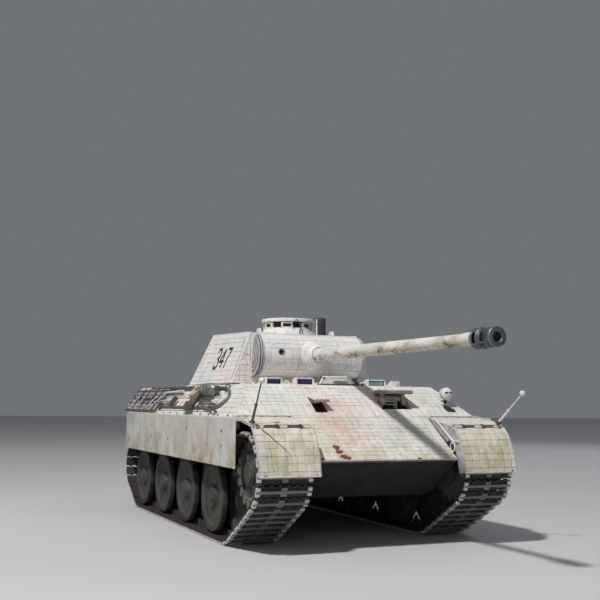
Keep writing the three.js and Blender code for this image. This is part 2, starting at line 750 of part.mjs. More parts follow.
// ---- turret -------------------------------------------------------------------------------------
function turretShell() {
  const c = TURRET_CORNERS;
  const corners = (inset, bottomZ, roofDrop) =>
    [-1, 1].flatMap((s) => [
      [s * (c.frontHalf - inset * 1.15), c.frontY + inset, bottomZ],
      [s * (c.frontTopHalf - inset * 1.15), c.frontTopY + inset, c.frontTopZ - roofDrop],
      [s * (c.rearHalf - inset * 1.15), c.rearY - inset, bottomZ],
      [s * (c.rearTopHalf - inset * 1.15), c.rearTopY - inset, c.rearTopZ - roofDrop],
    ]);
  const shell = cut(hull(corners(0, TURRET_Z, 0)), hull(corners(WALL, TURRET_Z - 1, WALL)));
  const tilt = new THREE.CylinderGeometry(11.5, 11.5, 20, 18);
  tilt.rotateX(REAR_PLATE_TILT);
  tilt.translate(0, 130.6, 141.7);
  const gunPort = [
    rod("x", [0, TRUNNION.y, TRUNNION.z], MANTLET_R + 0.4, 2 * MANTLET_HALF + 0.7, 32),
    box([-MANTLET_HALF + 3, MANTLET_HALF - 3], [5, 18], [127, 157.5]),
  ];
  const hatch = rod("z", [CUPOLA.x, CUPOLA.y, 163], CUPOLA.hatch, 10, 24);
  return cut(join(shell, liftingHooks()), gunPort, solid(tilt), hatch);
}

function liftingHooks() {
  return [[-35, 30], [35, 30]].map(([x, y]) => {
    const z = turretRoofZ(y) - 0.3;
    return prismX([[y - 4, z], [y + 4, z], [y + 3, z + 3.4], [y - 3, z + 3.4]], [x - 1, x + 1], [
      [[y - 1.8, z + 1], [y - 1.5, z + 2.4], [y + 1.5, z + 2.4], [y + 1.8, z + 1]],
    ]);
  });
}

function turretRingGear() {
  const { y, collar, bore, flange, gearRoot, gearTip, teeth } = RING;
  const profile = [
    [bore, 104.5],
    [gearRoot + 0.4, 104.5],
    [gearRoot + 0.4, 112],
    [collar, 112],
    [collar, ROOF_Z + GAP],
    [flange, ROOF_Z + GAP],
    [flange, TURRET_Z - GAP],
    [bore, TURRET_Z - GAP],
    [bore, 104.5],
  ];
  const gear = prismZ(gearOutline(0, y, gearRoot, gearTip, teeth), [105.5, 110.5], [circle(0, y, bore + 1, 24)]);
  return join(turned("z", [0, y, 0], profile, 28), gear);
}

function cupola() {
  const { x, y, r, hatch, top } = CUPOLA;
  const profile = [
    [hatch, 160],
    [r + 2.4, 160],
    [r + 2.4, 166.5],
    [r, 170.5],
    [r, 179.4],
    [r + 0.9, 179.8],
    [r + 0.9, top],
    [hatch, top],
    [hatch, 160],
  ];
  const under = prismX(
    [[y - 60, 150], [y + 60, 150], [y + 60, turretRoofZ(y + 60) + GAP], [y - 60, turretRoofZ(y - 60) + GAP]],
    [x - 60, x + 60],
  );
  return cut(turned("z", [x, y, 0], profile, 28), under);
}

// The lid is built over the hatch and swung aside about its post, which is where it rests.
function cupolaLid() {
  const disc = rod("z", [CUPOLA.x, CUPOLA.y, CUPOLA.top + 1.3], 17.2, 1.8, 24);
  const arm = hull([
    ...circle(LID_POST.x, LID_POST.y, 3, 10).flatMap(([x, y]) => [[x, y, 182.3], [x, y, 184.6]]),
    ...circle(CUPOLA.x, CUPOLA.y, 3, 10).flatMap(([x, y]) => [[x, y, 182.3], [x, y, 184.6]]),
  ]);
  const low = turretRoofZ(LID_POST.y) + 0.6;
  const post = rod("z", [LID_POST.x, LID_POST.y, (low + 184) / 2], LID_POST.r, 184 - low, 12);
  return join(disc, arm, post);
}

function rearHatch() {
  const disc = new THREE.CylinderGeometry(15, 14, 2.2, 24);
  const rim = new THREE.CylinderGeometry(10.6, 10.6, 3.6, 16);
  rim.translate(0, -2.4, 0);
  return join(
    [disc, rim].map((geometry) => {
      geometry.rotateX(REAR_PLATE_TILT);
      const out = 1.1 + GAP + 0.1;
      geometry.translate(0, 130.6 + out * Math.cos(REAR_PLATE_TILT), 141.7 + out * Math.sin(REAR_PLATE_TILT));
      return solid(geometry);
    }),
  );
}

// ---- gun ----------------------------------------------------------------------------------------
function mantlet() {
  const { y, z } = TRUNNION;
  const drum = cut(
    rod("x", [0, y, z], MANTLET_R, 2 * MANTLET_HALF - 3, 24),
    box([-60, 60], [y + 5, y + 30], [z - 30, z + 30]),
  );
  const caps = [-1, 1].map((s) =>
    cut(
      rod("x", [s * (MANTLET_HALF - 0.8), y, z], s > 0 ? MANTLET_R : MANTLET_R - 1.6, 1.6, 24, s > 0 ? MANTLET_R - 1.6 : MANTLET_R),
      box([-60, 60], [y + 5, y + 30], [z - 30, z + 30]),
    ),
  );
  const collar = turned("y", [0, -19.4, z], [[0, 0], [7.4, 0], [8.6, 3.4], [9.6, 10.5], [0, 10.5]], 20);
  const barrelBore = rod("y", [0, 0, z], 6.3, 60, 20);
  const machineGunHole = rod("y", [-29.9, -8, z + 2.4], 1.7, 10, 10);
  return cut(join(drum, caps, collar), barrelBore, machineGunHole);
}

function recoilUnit() {
  const { y, z } = TRUNNION;
  const housing = box([-9, 9], [y + 6, 62], [z - 9, z + 9]);
  const bore = rod("y", [0, 36, z], 3.4, 70, 12);
  const arms = [-1, 1].map((s) => box([s * 14 - 5.2, s * 14 + 5.2], [y + 5 + GAP, 22], [z - 5, z + 5]));
  return cut(join(housing, arms), bore);
}

function gunBarrel() {
  const profile = [
    [0, 52],
    [3, 52],
    [3, 3],
    [5.9, 2],
    [5.9, -24],
    [5.5, -60],
    [4.6, -150],
    [4, -238],
    [4.3, -240],
    [4.3, BRAKE_REAR_Y + GAP],
    [0, BRAKE_REAR_Y + GAP],
  ];
  return turned("y", [0, 0, TRUNNION.z], profile, 18);
}

function muzzleBrake() {
  const bore = 2.4;
  const profile = [
    [bore, BRAKE_REAR_Y],
    [4.9, BRAKE_REAR_Y],
    [6.8, -251],
    [6.8, -256.4],
    [5.6, -257.4],
    [5.6, -263],
    [6.4, -264.4],
    [6.4, MUZZLE_Y],
    [bore, MUZZLE_Y],
    [bore, BRAKE_REAR_Y],
  ];
  const windows = [[-255.6, -251.8], [-263.4, -258]].map((y) =>
    box([-9, 9], y, [TRUNNION.z - 3.2, TRUNNION.z + 3.2]),
  );
  return cut(turned("y", [0, 0, TRUNNION.z], profile, 18), windows);
}

// ---- assembly -----------------------------------------------------------------------------------
node("lower_hull_tub", lowerHullTub(), PAINT.hullDark());
node("upper_hull_shell", upperHullShell(), PAINT.whitewash());
node("engine_deck", engineDeck(), PAINT.whitewash());
node("driver_hatch", crewHatch(LEFT), PAINT.whitewash());
node("radio_operator_hatch", crewHatch(RIGHT), PAINT.whitewash());
node("driver_visor_flap", visorFlap(), PAINT.whitewash());
node("bow_port_flap", bowPortFlap(), PAINT.whitewash());
node("gun_travel_lock", travelLock(), PAINT.whitewash());
node("headlight", headlight(), PAINT.lens());
node("exhaust_pipes", exhaustPipes(), PAINT.darkSteel());
node("tow_cable_right", towCable(), PAINT.darkSteel());
node("tool_rack_right", toolRack(), PAINT.darkSteel());
node("power_switch", powerSwitch(), PAINT.plasticBlack());
node("battery_pack", batteryPack(), PAINT.blueWrap());
node("receiver_board", receiverBoard(), PAINT.greenBoard());
node("turret_motor", turretMotor(), PAINT.darkSteel());
node("turret_pinion", turretPinion(), PAINT.brass());

for (const [name, side] of SIDES) {
  node(`side_skirt_${name}`, sideSkirt(side), PAINT.skirt());
  node(`fender_flap_${name}`, fenderFlap(side), PAINT.fenderWash());
  node(`width_rod_${name}`, widthRod(side), PAINT.lens());
  node(`stowage_bin_${name}`, stowageBin(side), PAINT.whitewash());
  node(`drive_gearbox_${name}`, driveGearbox(side), PAINT.plasticBlack());
  node(`suspension_${name}`, suspension(side), PAINT.darkSteel());
  node(`track_${name}`, trackLoop(side), PAINT.trackSteel());
  node(`sprocket_${name}`, sprocket(side), PAINT.wheelPaint());
  node(`idler_${name}`, idler(side), PAINT.wheelPaint());
  for (let k = 0; k < WHEEL_COUNT; k++) {
    node(`road_wheel_${name}_${k + 1}`, roadWheel(k, side), PAINT.wheelPaint());
  }
}

const turret = new THREE.Group();
model.add(turret);
node("turret_shell", turretShell(), PAINT.whitewash(), turret);
node("turret_ring_gear", turretRingGear(), PAINT.plasticBlack(), turret);
node("cupola", cupola(), PAINT.whitewash(), turret);
node("turret_rear_hatch", rearHatch(), PAINT.whitewash(), turret);

const lidPivot = new THREE.Group();
lidPivot.position.set(LID_POST.x, LID_POST.y, 0);
lidPivot.rotation.z = LID_SWING;
turret.add(lidPivot);
node("cupola_lid", cupolaLid(), PAINT.whitewash(), lidPivot).position.set(-LID_POST.x, -LID_POST.y, 0);

const gun = new THREE.Group();
turret.add(gun);
node("mantlet", mantlet(), PAINT.whitewash(), gun);
node("recoil_unit", recoilUnit(), PAINT.plasticBlack(), gun);
node("gun_barrel", gunBarrel(), PAINT.fenderWash(), gun);
node("muzzle_brake", muzzleBrake(), PAINT.darkSteel(), gun);

export default model;
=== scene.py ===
import math
import random

import bmesh
import bpy
from mathutils import Matrix, Vector, noise


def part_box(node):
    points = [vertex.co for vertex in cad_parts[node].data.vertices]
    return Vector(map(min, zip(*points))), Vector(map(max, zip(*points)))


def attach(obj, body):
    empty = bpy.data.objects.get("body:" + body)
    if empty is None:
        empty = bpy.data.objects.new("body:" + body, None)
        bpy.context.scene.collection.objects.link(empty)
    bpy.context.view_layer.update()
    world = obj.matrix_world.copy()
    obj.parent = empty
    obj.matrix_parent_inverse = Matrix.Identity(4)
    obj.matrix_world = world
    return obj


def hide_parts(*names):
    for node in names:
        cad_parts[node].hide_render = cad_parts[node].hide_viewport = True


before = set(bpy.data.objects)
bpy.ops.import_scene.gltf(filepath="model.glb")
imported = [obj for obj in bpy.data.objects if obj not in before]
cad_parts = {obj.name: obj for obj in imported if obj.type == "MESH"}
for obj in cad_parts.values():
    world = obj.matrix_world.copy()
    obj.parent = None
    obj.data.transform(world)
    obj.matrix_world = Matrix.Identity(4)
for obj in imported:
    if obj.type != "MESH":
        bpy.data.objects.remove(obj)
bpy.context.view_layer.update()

MM = 0.001
SIDES = (("right", -1), ("left", 1))

# ---- node materials -----------------------------------------------------------------------------


class Paint:
    """A node material under construction. Lengths are those of the model: 1000 / mm is a noise scale."""

    def __init__(self, name, roughness=0.85, metallic=0.0, **sockets):
        self.mat = bpy.data.materials.new(name)
        self.mat.use_nodes = True
        self.tree = self.mat.node_tree
        self.bsdf = self.tree.nodes["Principled BSDF"]
        self.bsdf.inputs["Roughness"].default_value = roughness
        self.bsdf.inputs["Metallic"].default_value = metallic
        for key, value in sockets.items():
            self.bsdf.inputs[key.replace("_", " ")].default_value = value
        self.place = self.node("ShaderNodeTexCoord").outputs["Object"]

    def node(self, kind, **settings):
        made = self.tree.nodes.new(kind)
        for key, value in settings.items():
            setattr(made, key, value)
        return made

    def feed(self, socket, value):
        if isinstance(value, bpy.types.NodeSocket):
            self.tree.links.new(value, socket)
        elif isinstance(value, tuple) and len(value) == 3 and socket.type == "RGBA":
            socket.default_value = (*value, 1.0)
        else:
            socket.default_value = value

    def noise(self, size_mm, detail=4.0, rough=0.6, stretch=(1, 1, 1), shift=0.0):
        mapping = self.node("ShaderNodeMapping")
        self.feed(mapping.inputs["Vector"], self.place)
        mapping.inputs["Scale"].default_value = stretch
        mapping.inputs["Location"].default_value = (shift, shift * 0.7, shift * 0.3)
        tex = self.node("ShaderNodeTexNoise")
        self.feed(tex.inputs["Vector"], mapping.outputs[0])
        tex.inputs["Scale"].default_value = 1000 / size_mm
        tex.inputs["Detail"].default_value = detail
        tex.inputs["Roughness"].default_value = rough
        return tex.outputs["Fac"]

    def step(self, value, low, high, to=(0.0, 1.0)):
        node = self.node("ShaderNodeMapRange")
        node.clamp = True
        self.feed(node.inputs["Value"], value)
        for socket, number in zip(("From Min", "From Max", "To Min", "To Max"), (low, high, *to)):
            node.inputs[socket].default_value = number
        return node.outputs["Result"]

    def math(self, kind, a, b):
        node = self.node("ShaderNodeMath", operation=kind)
        self.feed(node.inputs[0], a)
        self.feed(node.inputs[1], b)
        return node.outputs[0]

    def mix(self, fac, a, b):
        node = self.node("ShaderNodeMix", data_type="RGBA")
        self.feed(node.inputs["Factor"], fac)
        self.feed(node.inputs[6], a)
        self.feed(node.inputs[7], b)
        return node.outputs[2]

    def ramp(self, fac, stops):
        node = self.node("ShaderNodeValToRGB")
        self.feed(node.inputs[0], fac)
        ramp = node.color_ramp
        while len(ramp.elements) < len(stops):
            ramp.elements.new(0.5)
        for element, (at, colour) in zip(ramp.elements, stops):
            element.position = at
            element.color = (*colour, 1.0)
        return node.outputs["Color"]

    def attribute(self, name):
        return self.node("ShaderNodeAttribute", attribute_name=name).outputs["Fac"]

    def axis(self, name):
        split = self.node("ShaderNodeSeparateXYZ")
        self.feed(split.inputs[0], self.place)
        return split.outputs[name]

    def height(self):
        return self.axis("Z")

    def worn(self, low, high):
        return self.step(self.node("ShaderNodeNewGeometry").outputs["Pointiness"], low, high)

    def done(self, colour, bump=None, strength=0.4, roughness=None):
        self.feed(self.bsdf.inputs["Base Color"], colour)
        if roughness is not None:
            self.feed(self.bsdf.inputs["Roughness"], roughness)
        if bump is not None:
            node = self.node("ShaderNodeBump")
            node.inputs["Strength"].default_value = strength
            node.inputs["Distance"].default_value = 0.0004
            self.feed(node.inputs["Height"], bump)
            self.feed(self.bsdf.inputs["Normal"], node.outputs[0])
        return self.mat


def whitewash(name, light, warm, cool, olive=0.5, specks=0.5, lines=0.75):
    p = Paint(name, roughness=0.88)
    patches = p.noise(48, 5)
    base = p.ramp(patches, [(0.38, warm), (0.5, light), (0.63, cool)])
    blotch = p.step(p.noise(21, 6, 0.7, shift=3), 0.5, 0.68, (0, 0.55))
    base = p.mix(blotch, base, (0.60, 0.55, 0.50))
    pink = p.math("MULTIPLY", p.attribute("warmth"), p.step(p.noise(13, 6, 0.7, (1, 0.5, 1), 14), 0.3, 0.6))
    base = p.mix(pink, base, (0.66, 0.49, 0.42))
    low = p.step(p.height(), 0.062, 0.112, (1, 0.12))
    stain = p.math("MULTIPLY", p.step(p.noise(16, 6, 0.7, shift=8), 0.42, 0.62), low)
    base = p.mix(p.math("MULTIPLY", stain, olive), base, (0.46, 0.43, 0.25))
    streak = p.step(p.noise(7, 5, 0.65, (1, 1, 0.16), 5), 0.54, 0.74, (0, 0.45))
    base = p.mix(streak, base, (0.40, 0.34, 0.30))
    # painted shade: the grooves between squares and the coat's rim are darkened by colour, at the strength
    # lines, broken up by noise
    groove_shade = p.attribute("groove_shade")
    broken = p.step(p.noise(11, 5, 0.7, shift=11), 0.4, 0.58, (0.12, 1))
    base = p.mix(p.math("MULTIPLY", p.math("MULTIPLY", groove_shade, broken), lines), base, (0.12, 0.095, 0.085))
    rust = p.attribute("rust")
    ragged = p.step(p.math("ADD", rust, p.math("MULTIPLY", p.noise(3.4, 5), 0.8)), 0.98, 1.1)
    base = p.mix(ragged, base, (0.16, 0.06, 0.04))
    speck = p.step(p.noise(2.6, 3, 0.5, shift=2), 0.70, 0.74, (0, specks))
    base = p.mix(speck, base, (0.10, 0.08, 0.07))
    return p.done(base, p.noise(1.1, 5, 0.7), 0.35)


def steel(name, dark, light, roughness=0.55, metallic=0.7, dust=(0.30, 0.26, 0.22), dusty=0.35):
    p = Paint(name, roughness=roughness, metallic=metallic)
    grain = p.noise(9, 6, 0.7)
    base = p.ramp(grain, [(0.32, dark), (0.55, tuple((a + b) / 2 for a, b in zip(dark, light))),
                          (0.78, light)])
    base = p.mix(p.step(p.noise(14, 5, 0.6, shift=4), 0.48, 0.68, (0, dusty)), base, dust)
    base = p.mix(p.worn(0.52, 0.6), base, light)
    return p.done(base, p.noise(0.9, 4, 0.7), 0.3,
                  p.step(grain, 0.3, 0.7, (roughness + 0.12, roughness - 0.12)))


def plain(name, dark, light, roughness=0.6, metallic=0.0, size=6, **sockets):
    p = Paint(name, roughness=roughness, metallic=metallic, **sockets)
    grain = p.noise(size, 5, 0.6)
    return p.done(p.ramp(grain, [(0.3, dark), (0.7, light)]), p.noise(0.7, 3), 0.2)


WHITE = whitewash("whitewash", (0.79, 0.77, 0.745), (0.82, 0.69, 0.68), (0.66, 0.70, 0.66), olive=0.6,
                  lines=0.9)
FENDER = whitewash("fender_wash", (0.74, 0.72, 0.66), (0.76, 0.66, 0.60), (0.60, 0.62, 0.52), olive=0.85,
                   lines=0.95)
TURRET = whitewash("turret_wash", (0.79, 0.78, 0.77), (0.82, 0.75, 0.74), (0.67, 0.72, 0.74), olive=0.2,
                   lines=0.7)
TRIM = whitewash("trim_wash", (0.80, 0.78, 0.76), (0.80, 0.73, 0.71), (0.70, 0.72, 0.72), olive=0.2,
                 specks=0.8)
TOOLED = steel("tool_steel", (0.045, 0.040, 0.042), (0.27, 0.25, 0.25))
BLACK_STEEL = steel("black_steel", (0.03, 0.027, 0.03), (0.13, 0.12, 0.13), dusty=0.15)
# track cleats: dark steel, darkened further as painted shade
SHADED_PAD = steel("shaded_track_pad", (0.03, 0.027, 0.027), (0.22, 0.21, 0.20), 0.45, 0.7, (0.03, 0.025, 0.022), dusty=0.8)
# bright link ends: partly worn steel, partly a painted highlight
WORN_LIT_PAD = steel("worn_lit_pad", (0.22, 0.21, 0.21), (0.66, 0.64, 0.62), 0.4, 0.5, (0.05, 0.04, 0.035), dusty=0.5)
SPARE_LINK = steel("spare_link", (0.020, 0.015, 0.021), (0.13, 0.105, 0.135), 0.6, 0.4, (0.06, 0.045, 0.06))
# dark steel; its pale bluish tone, on rubbed edges and in patches, is a painted highlight
BRAKE = steel("muzzle_steel", (0.016, 0.017, 0.024), (0.26, 0.29, 0.34), 0.42, 0.75, dusty=0.08)
# track link bodies: dark steel, darkened further as painted shade
SHADED_LINK = steel("shaded_track_link", (0.012, 0.010, 0.010), (0.055, 0.048, 0.046), 0.65, 0.4, (0.05, 0.04, 0.033))
RUST = steel("rusty_pipe", (0.08, 0.035, 0.02), (0.30, 0.15, 0.08), 0.8, 0.3, (0.05, 0.04, 0.04))
# painted shade: the near-black of the lower hull, suspension and their fittings, standing for the shade under
# the hull
HULL_SHADE = steel("dark_hull", (0.008, 0.006, 0.007), (0.024, 0.019, 0.021), 0.85, 0.0, (0.04, 0.03, 0.03), 0.25)
# running gear: a dark grime tone, made darker still as painted shade
WHEEL_GRIME_SHADE = steel("wheel_grime_and_shade", (0.028, 0.026, 0.025), (0.095, 0.09, 0.082), 0.8, 0.0, (0.03, 0.025, 0.02), 0.6)
RUBBER = plain("tyre_rubber", (0.018, 0.017, 0.017), (0.07, 0.062, 0.055), 0.85)
WOOD = plain("tool_wood", (0.22, 0.15, 0.07), (0.40, 0.30, 0.16), 0.7, size=3)
OLIVE = plain("pale_olive", (0.30, 0.29, 0.19), (0.55, 0.53, 0.40), 0.75, size=7)
OLIVE_GREY = plain("olive_grey", (0.13, 0.12, 0.09), (0.38, 0.37, 0.31), 0.75, size=5)
HIDE = plain("gear_brown", (0.022, 0.018, 0.014), (0.17, 0.14, 0.11), 0.5, size=3)
BOTTLE = plain("bottle_grey", (0.09, 0.10, 0.10), (0.50, 0.52, 0.49), 0.35, 0.3, size=5)
EDGE = plain("edge_grey", (0.30, 0.29, 0.31), (0.56, 0.55, 0.56), 0.75, size=4)
LIP = plain("pink_edge", (0.28, 0.18, 0.17), (0.60, 0.47, 0.44), 0.75, size=4)
MARK = plain("number_paint", (0.015, 0.015, 0.02), (0.06, 0.055, 0.06), 0.8, size=3)
# painted shade: a near-black laid into recesses, openings, gaps, cuts and bores where shade falls
PAINTED_SHADE = plain("painted_recess_shade", (0.012, 0.010, 0.012), (0.035, 0.028, 0.03), 0.9)
# dark red of a recess's walls, darkened as painted shade
SHADED_MAROON = plain("shaded_recess_maroon", (0.07, 0.012, 0.012), (0.15, 0.035, 0.03), 0.8, size=4)
GLASS_BLUE = plain("periscope_blue", (0.012, 0.016, 0.05), (0.04, 0.05, 0.14), 0.12, size=9)
# pale teal glass: the glass's tint, lightened into a painted reflection
GLASS_TEAL_GLINT = plain("periscope_teal_glint", (0.10, 0.26, 0.27), (0.42, 0.66, 0.66), 0.15, size=7)
BLACK_PLASTIC = plain("black_plastic", (0.012, 0.012, 0.014), (0.03, 0.03, 0.034), 0.5)
BLUE_WRAP = plain("battery_wrap", (0.02, 0.07, 0.26), (0.04, 0.13, 0.40), 0.25)
BOARD = plain("circuit_board", (0.01, 0.10, 0.04), (0.02, 0.18, 0.07), 0.4)
BRASS = plain("brass_gear", (0.55, 0.38, 0.12), (0.75, 0.56, 0.24), 0.3, 1.0)


def skirt_paint():
    p = Paint("skirt_sheet", roughness=0.72)
    base = p.ramp(p.noise(64, 5), [(0.34, (0.43, 0.44, 0.48)), (0.46, (0.52, 0.54, 0.48)),
                                   (0.57, (0.62, 0.60, 0.57)), (0.7, (0.55, 0.58, 0.52))])
    streak = p.step(p.noise(12, 6, 0.7, (1, 1, 0.4), 6), 0.48, 0.72, (0, 0.6))
    base = p.mix(streak, base, (0.36, 0.33, 0.28))
    low = p.step(p.height(), 0.060, 0.084, (0.9, 0.05))
    base = p.mix(p.math("MULTIPLY", low, p.step(p.noise(17, 6, 0.7, shift=2), 0.46, 0.62)), base,
                 (0.40, 0.27, 0.15))
    soot = p.step(p.noise(13, 6, 0.75, shift=21), 0.56, 0.74, (0, 0.55))
    base = p.mix(soot, base, (0.20, 0.17, 0.17))
    scrape = p.step(p.noise(5, 6, 0.75, (1, 0.3, 1), 9), 0.64, 0.7, (0, 0.7))
    base = p.mix(scrape, base, (0.10, 0.085, 0.075))
    return p.done(base, p.noise(2.2, 5), 0.25, p.step(p.noise(30), 0.3, 0.7, (0.85, 0.6)))


def barrel_paint():
    p = Paint("barrel_wash", roughness=0.8)
    base = p.ramp(p.noise(26, 5), [(0.36, (0.76, 0.72, 0.71)), (0.5, (0.68, 0.68, 0.64)),
                                   (0.64, (0.56, 0.56, 0.50))])
    far = p.step(p.axis("Y"), -0.150, -0.075, (1, 0.05))
    olive = p.math("MULTIPLY", p.step(p.noise(15, 6, 0.7, (1, 0.6, 1), 7), 0.46, 0.6, (0, 0.75)), far)
    base = p.mix(olive, base, (0.47, 0.45, 0.24))
    under = p.step(p.height(), 0.1405, 0.1455, (1, 0.25))
    flecks = p.math("MULTIPLY", p.step(p.noise(7, 6, 0.8, (1, 0.4, 1), 2), 0.5, 0.62, (0, 0.9)), under)
    base = p.mix(flecks, base, (0.085, 0.07, 0.075))
    return p.done(base, p.noise(1.4, 5), 0.3)


SKIRT = skirt_paint()
BARREL = barrel_paint()

# ---- mesh building, in millimetres --------------------------------------------------------------


def turn_to(direction):
    """The rotation that takes +Z to a direction."""
    return Vector(direction).to_track_quat("Z", "Y").to_matrix()


class Build:
    """Gathers shapes into one mesh. Each shape takes the material that is current when it is added."""

    def __init__(self, *materials):
        self.materials = materials
        self.current = 0
        self.verts, self.faces, self.slots = [], [], []

    def use(self, material):
        self.current = self.materials.index(material)
        return self

    def add(self, verts, faces):
        base = len(self.verts)
        self.verts += [tuple(v) for v in verts]
        self.faces += [[base + i for i in face] for face in faces]
        self.slots += [self.current] * len(faces)
        return self

    def convex(self, points, bevel=0.3, segments=1):
        bm = bmesh.new()
        for p in points:
            bm.verts.new(p)
        bmesh.ops.convex_hull(bm, input=bm.verts, use_existing_faces=False)
        bmesh.ops.delete(bm, geom=[v for v in bm.verts if not v.link_faces], context="VERTS")
        bmesh.ops.dissolve_limit(bm, angle_limit=0.03, verts=bm.verts, edges=bm.edges)
        if bevel:
            bmesh.ops.bevel(
                bm, geom=bm.edges[:], offset=bevel, segments=segments, affect="EDGES", clamp_overlap=True
            )
        bmesh.ops.recalc_face_normals(bm, faces=bm.faces)
        bm.verts.index_update()
        self.add([v.co.copy() for v in bm.verts], [[v.index for v in f.verts] for f in bm.faces])
        bm.free()
        return self

    def block(self, x, y, z, bevel=0.3, turn=None, about=(0, 0, 0), segments=1):
        points = [Vector((px, py, pz)) for px in x for py in y for pz in z]
        if turn is not None:
            points = [turn @ (p - Vector(about)) + Vector(about) for p in points]
        return self.convex(points, bevel, segments)

    def lathe(self, at, axis, profile, seg=24, start=0.0, sweep=math.tau):
        """profile is (radius, height along the axis). A sweep under a full turn leaves the shape open."""
        turn = turn_to(axis)
        full = abs(sweep - math.tau) < 1e-6
        count = seg if full else seg + 1
        rings, verts, faces = [], [], []
        for r, h in profile:
            if r < 1e-6:
                rings.append([len(verts)] * count)
                verts.append(turn @ Vector((0, 0, h)) + Vector(at))
                continue
            rings.append([])
            for i in range(count):
                a = start + sweep * i / seg
                rings[-1].append(len(verts))
                verts.append(turn @ Vector((r * math.cos(a), r * math.sin(a), h)) + Vector(at))
        for low, high in zip(rings, rings[1:]):
            for i in range(seg):
                j = (i + 1) % count
                face = list(dict.fromkeys([low[i], low[j], high[j], high[i]]))
                if len(face) > 2:
                    faces.append(face)
        return self.add(verts, faces)

    def rod(self, a, b, r, r2=None, seg=12, edge=0.15):
        a, b = Vector(a), Vector(b)
        r2 = r if r2 is None else r2
        length = (b - a).length
        e = min(edge, r * 0.5, r2 * 0.5, length * 0.3)
        return self.lathe(a, b - a, [(0, 0), (r - e, 0), (r, e), (r2, length - e), (r2 - e, length),
                                     (0, length)], seg)

    def tube(self, points, r, seg=8, closed=False, caps=True):
        points = [Vector(p) for p in points]
        n = len(points)
        normal = None
        verts, faces = [], []
        for i, p in enumerate(points):
            before = points[i - 1] if closed or i else p
            after = points[(i + 1) % n] if closed or i < n - 1 else p
            t = (after - before).normalized()
            if normal is None:
                normal = t.orthogonal().normalized()
            normal = (normal - t * normal.dot(t)).normalized()
            side = t.cross(normal)
            radius = r(i / (n - 1)) if callable(r) else r
            for k in range(seg):
                a = math.tau * k / seg
                verts.append(p + (normal * math.cos(a) + side * math.sin(a)) * radius)
        for i in range(n if closed else n - 1):
            for k in range(seg):
                j, m = (i + 1) % n, (k + 1) % seg
                faces.append([i * seg + k, i * seg + m, j * seg + m, j * seg + k])
        if caps and not closed:
            faces += [list(range(seg))[::-1], [(n - 1) * seg + k for k in range(seg)]]
        return self.add(verts, faces)

    def ball(self, at, r, seg=20, squash=1.0):
        steps = seg // 2
        profile = [(r * math.sin(math.pi * i / steps), -r * squash * math.cos(math.pi * i / steps))
                   for i in range(steps + 1)]
        profile[0], profile[-1] = (0, -r * squash), (0, r * squash)
        return self.lathe(at, (0, 0, 1), profile, seg)

    def bolt(self, at, normal, r=0.9, h=0.7, seg=6):
        return self.lathe(at, normal, [(r, -0.2), (r, h * 0.7), (r * 0.7, h), (0, h)], seg)

    def rivet(self, at, normal, r=0.8, h=0.5):
        return self.lathe(at, normal, [(r, -0.2), (r * 0.92, h * 0.5), (r * 0.55, h * 0.9), (0, h)], 10)

    def piece(self, name, body, replaces=(), slot=None, smooth=32, attributes=None, solidify=None):
        mesh = bpy.data.meshes.new(name)
        mesh.from_pydata([(x * MM, y * MM, z * MM) for x, y, z in self.verts], [], self.faces)
        for material in self.materials:
            mesh.materials.append(material)
        mesh.polygons.foreach_set("material_index", self.slots)
        for key, values in (attributes or {}).items():
            mesh.attributes.new(key, "FLOAT", "POINT").data.foreach_set("value", values)
        bm = bmesh.new()
        bm.from_mesh(mesh)
        bmesh.ops.recalc_face_normals(bm, faces=bm.faces)
        bm.to_mesh(mesh)
        bm.free()
        mesh.polygons.foreach_set("use_smooth", [True] * len(mesh.polygons))
        mesh.set_sharp_from_angle(angle=math.radians(smooth))
        mesh.update()
        obj = bpy.data.objects.new(name, mesh)
        bpy.context.scene.collection.objects.link(obj)
        if solidify:
            mod = obj.modifiers.new("thickness", "SOLIDIFY")
            mod.thickness = solidify * MM
            mod.offset = -1
        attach(obj, body)
        if replaces:
            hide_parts(*([replaces] if isinstance(replaces, str) else replaces))
        return obj


def lerp(a, b, t):
    return tuple(p + (q - p) * t for p, q in zip(a, b))


def bezier(a, b, c, t):
    return lerp(lerp(a, b, t), lerp(b, c, t), t)


# ---- ridged paste coat --------------------------------------------------------------------------

SQUARE = 6.25  # side of one trowelled square
RIDGE = 0.52  # half the pitch of the fine ridges inside a square
GROOVE = 0.3  # half width of the cut between squares
MIDDLE = Vector((0, 67, 75))


def lines_with(edges, base, clear=0.8):
    kept = [p for p in base if all(abs(p[0] - e) > clear for e in edges)]
    return sorted(kept + [(e, 0, None) for e in edges])


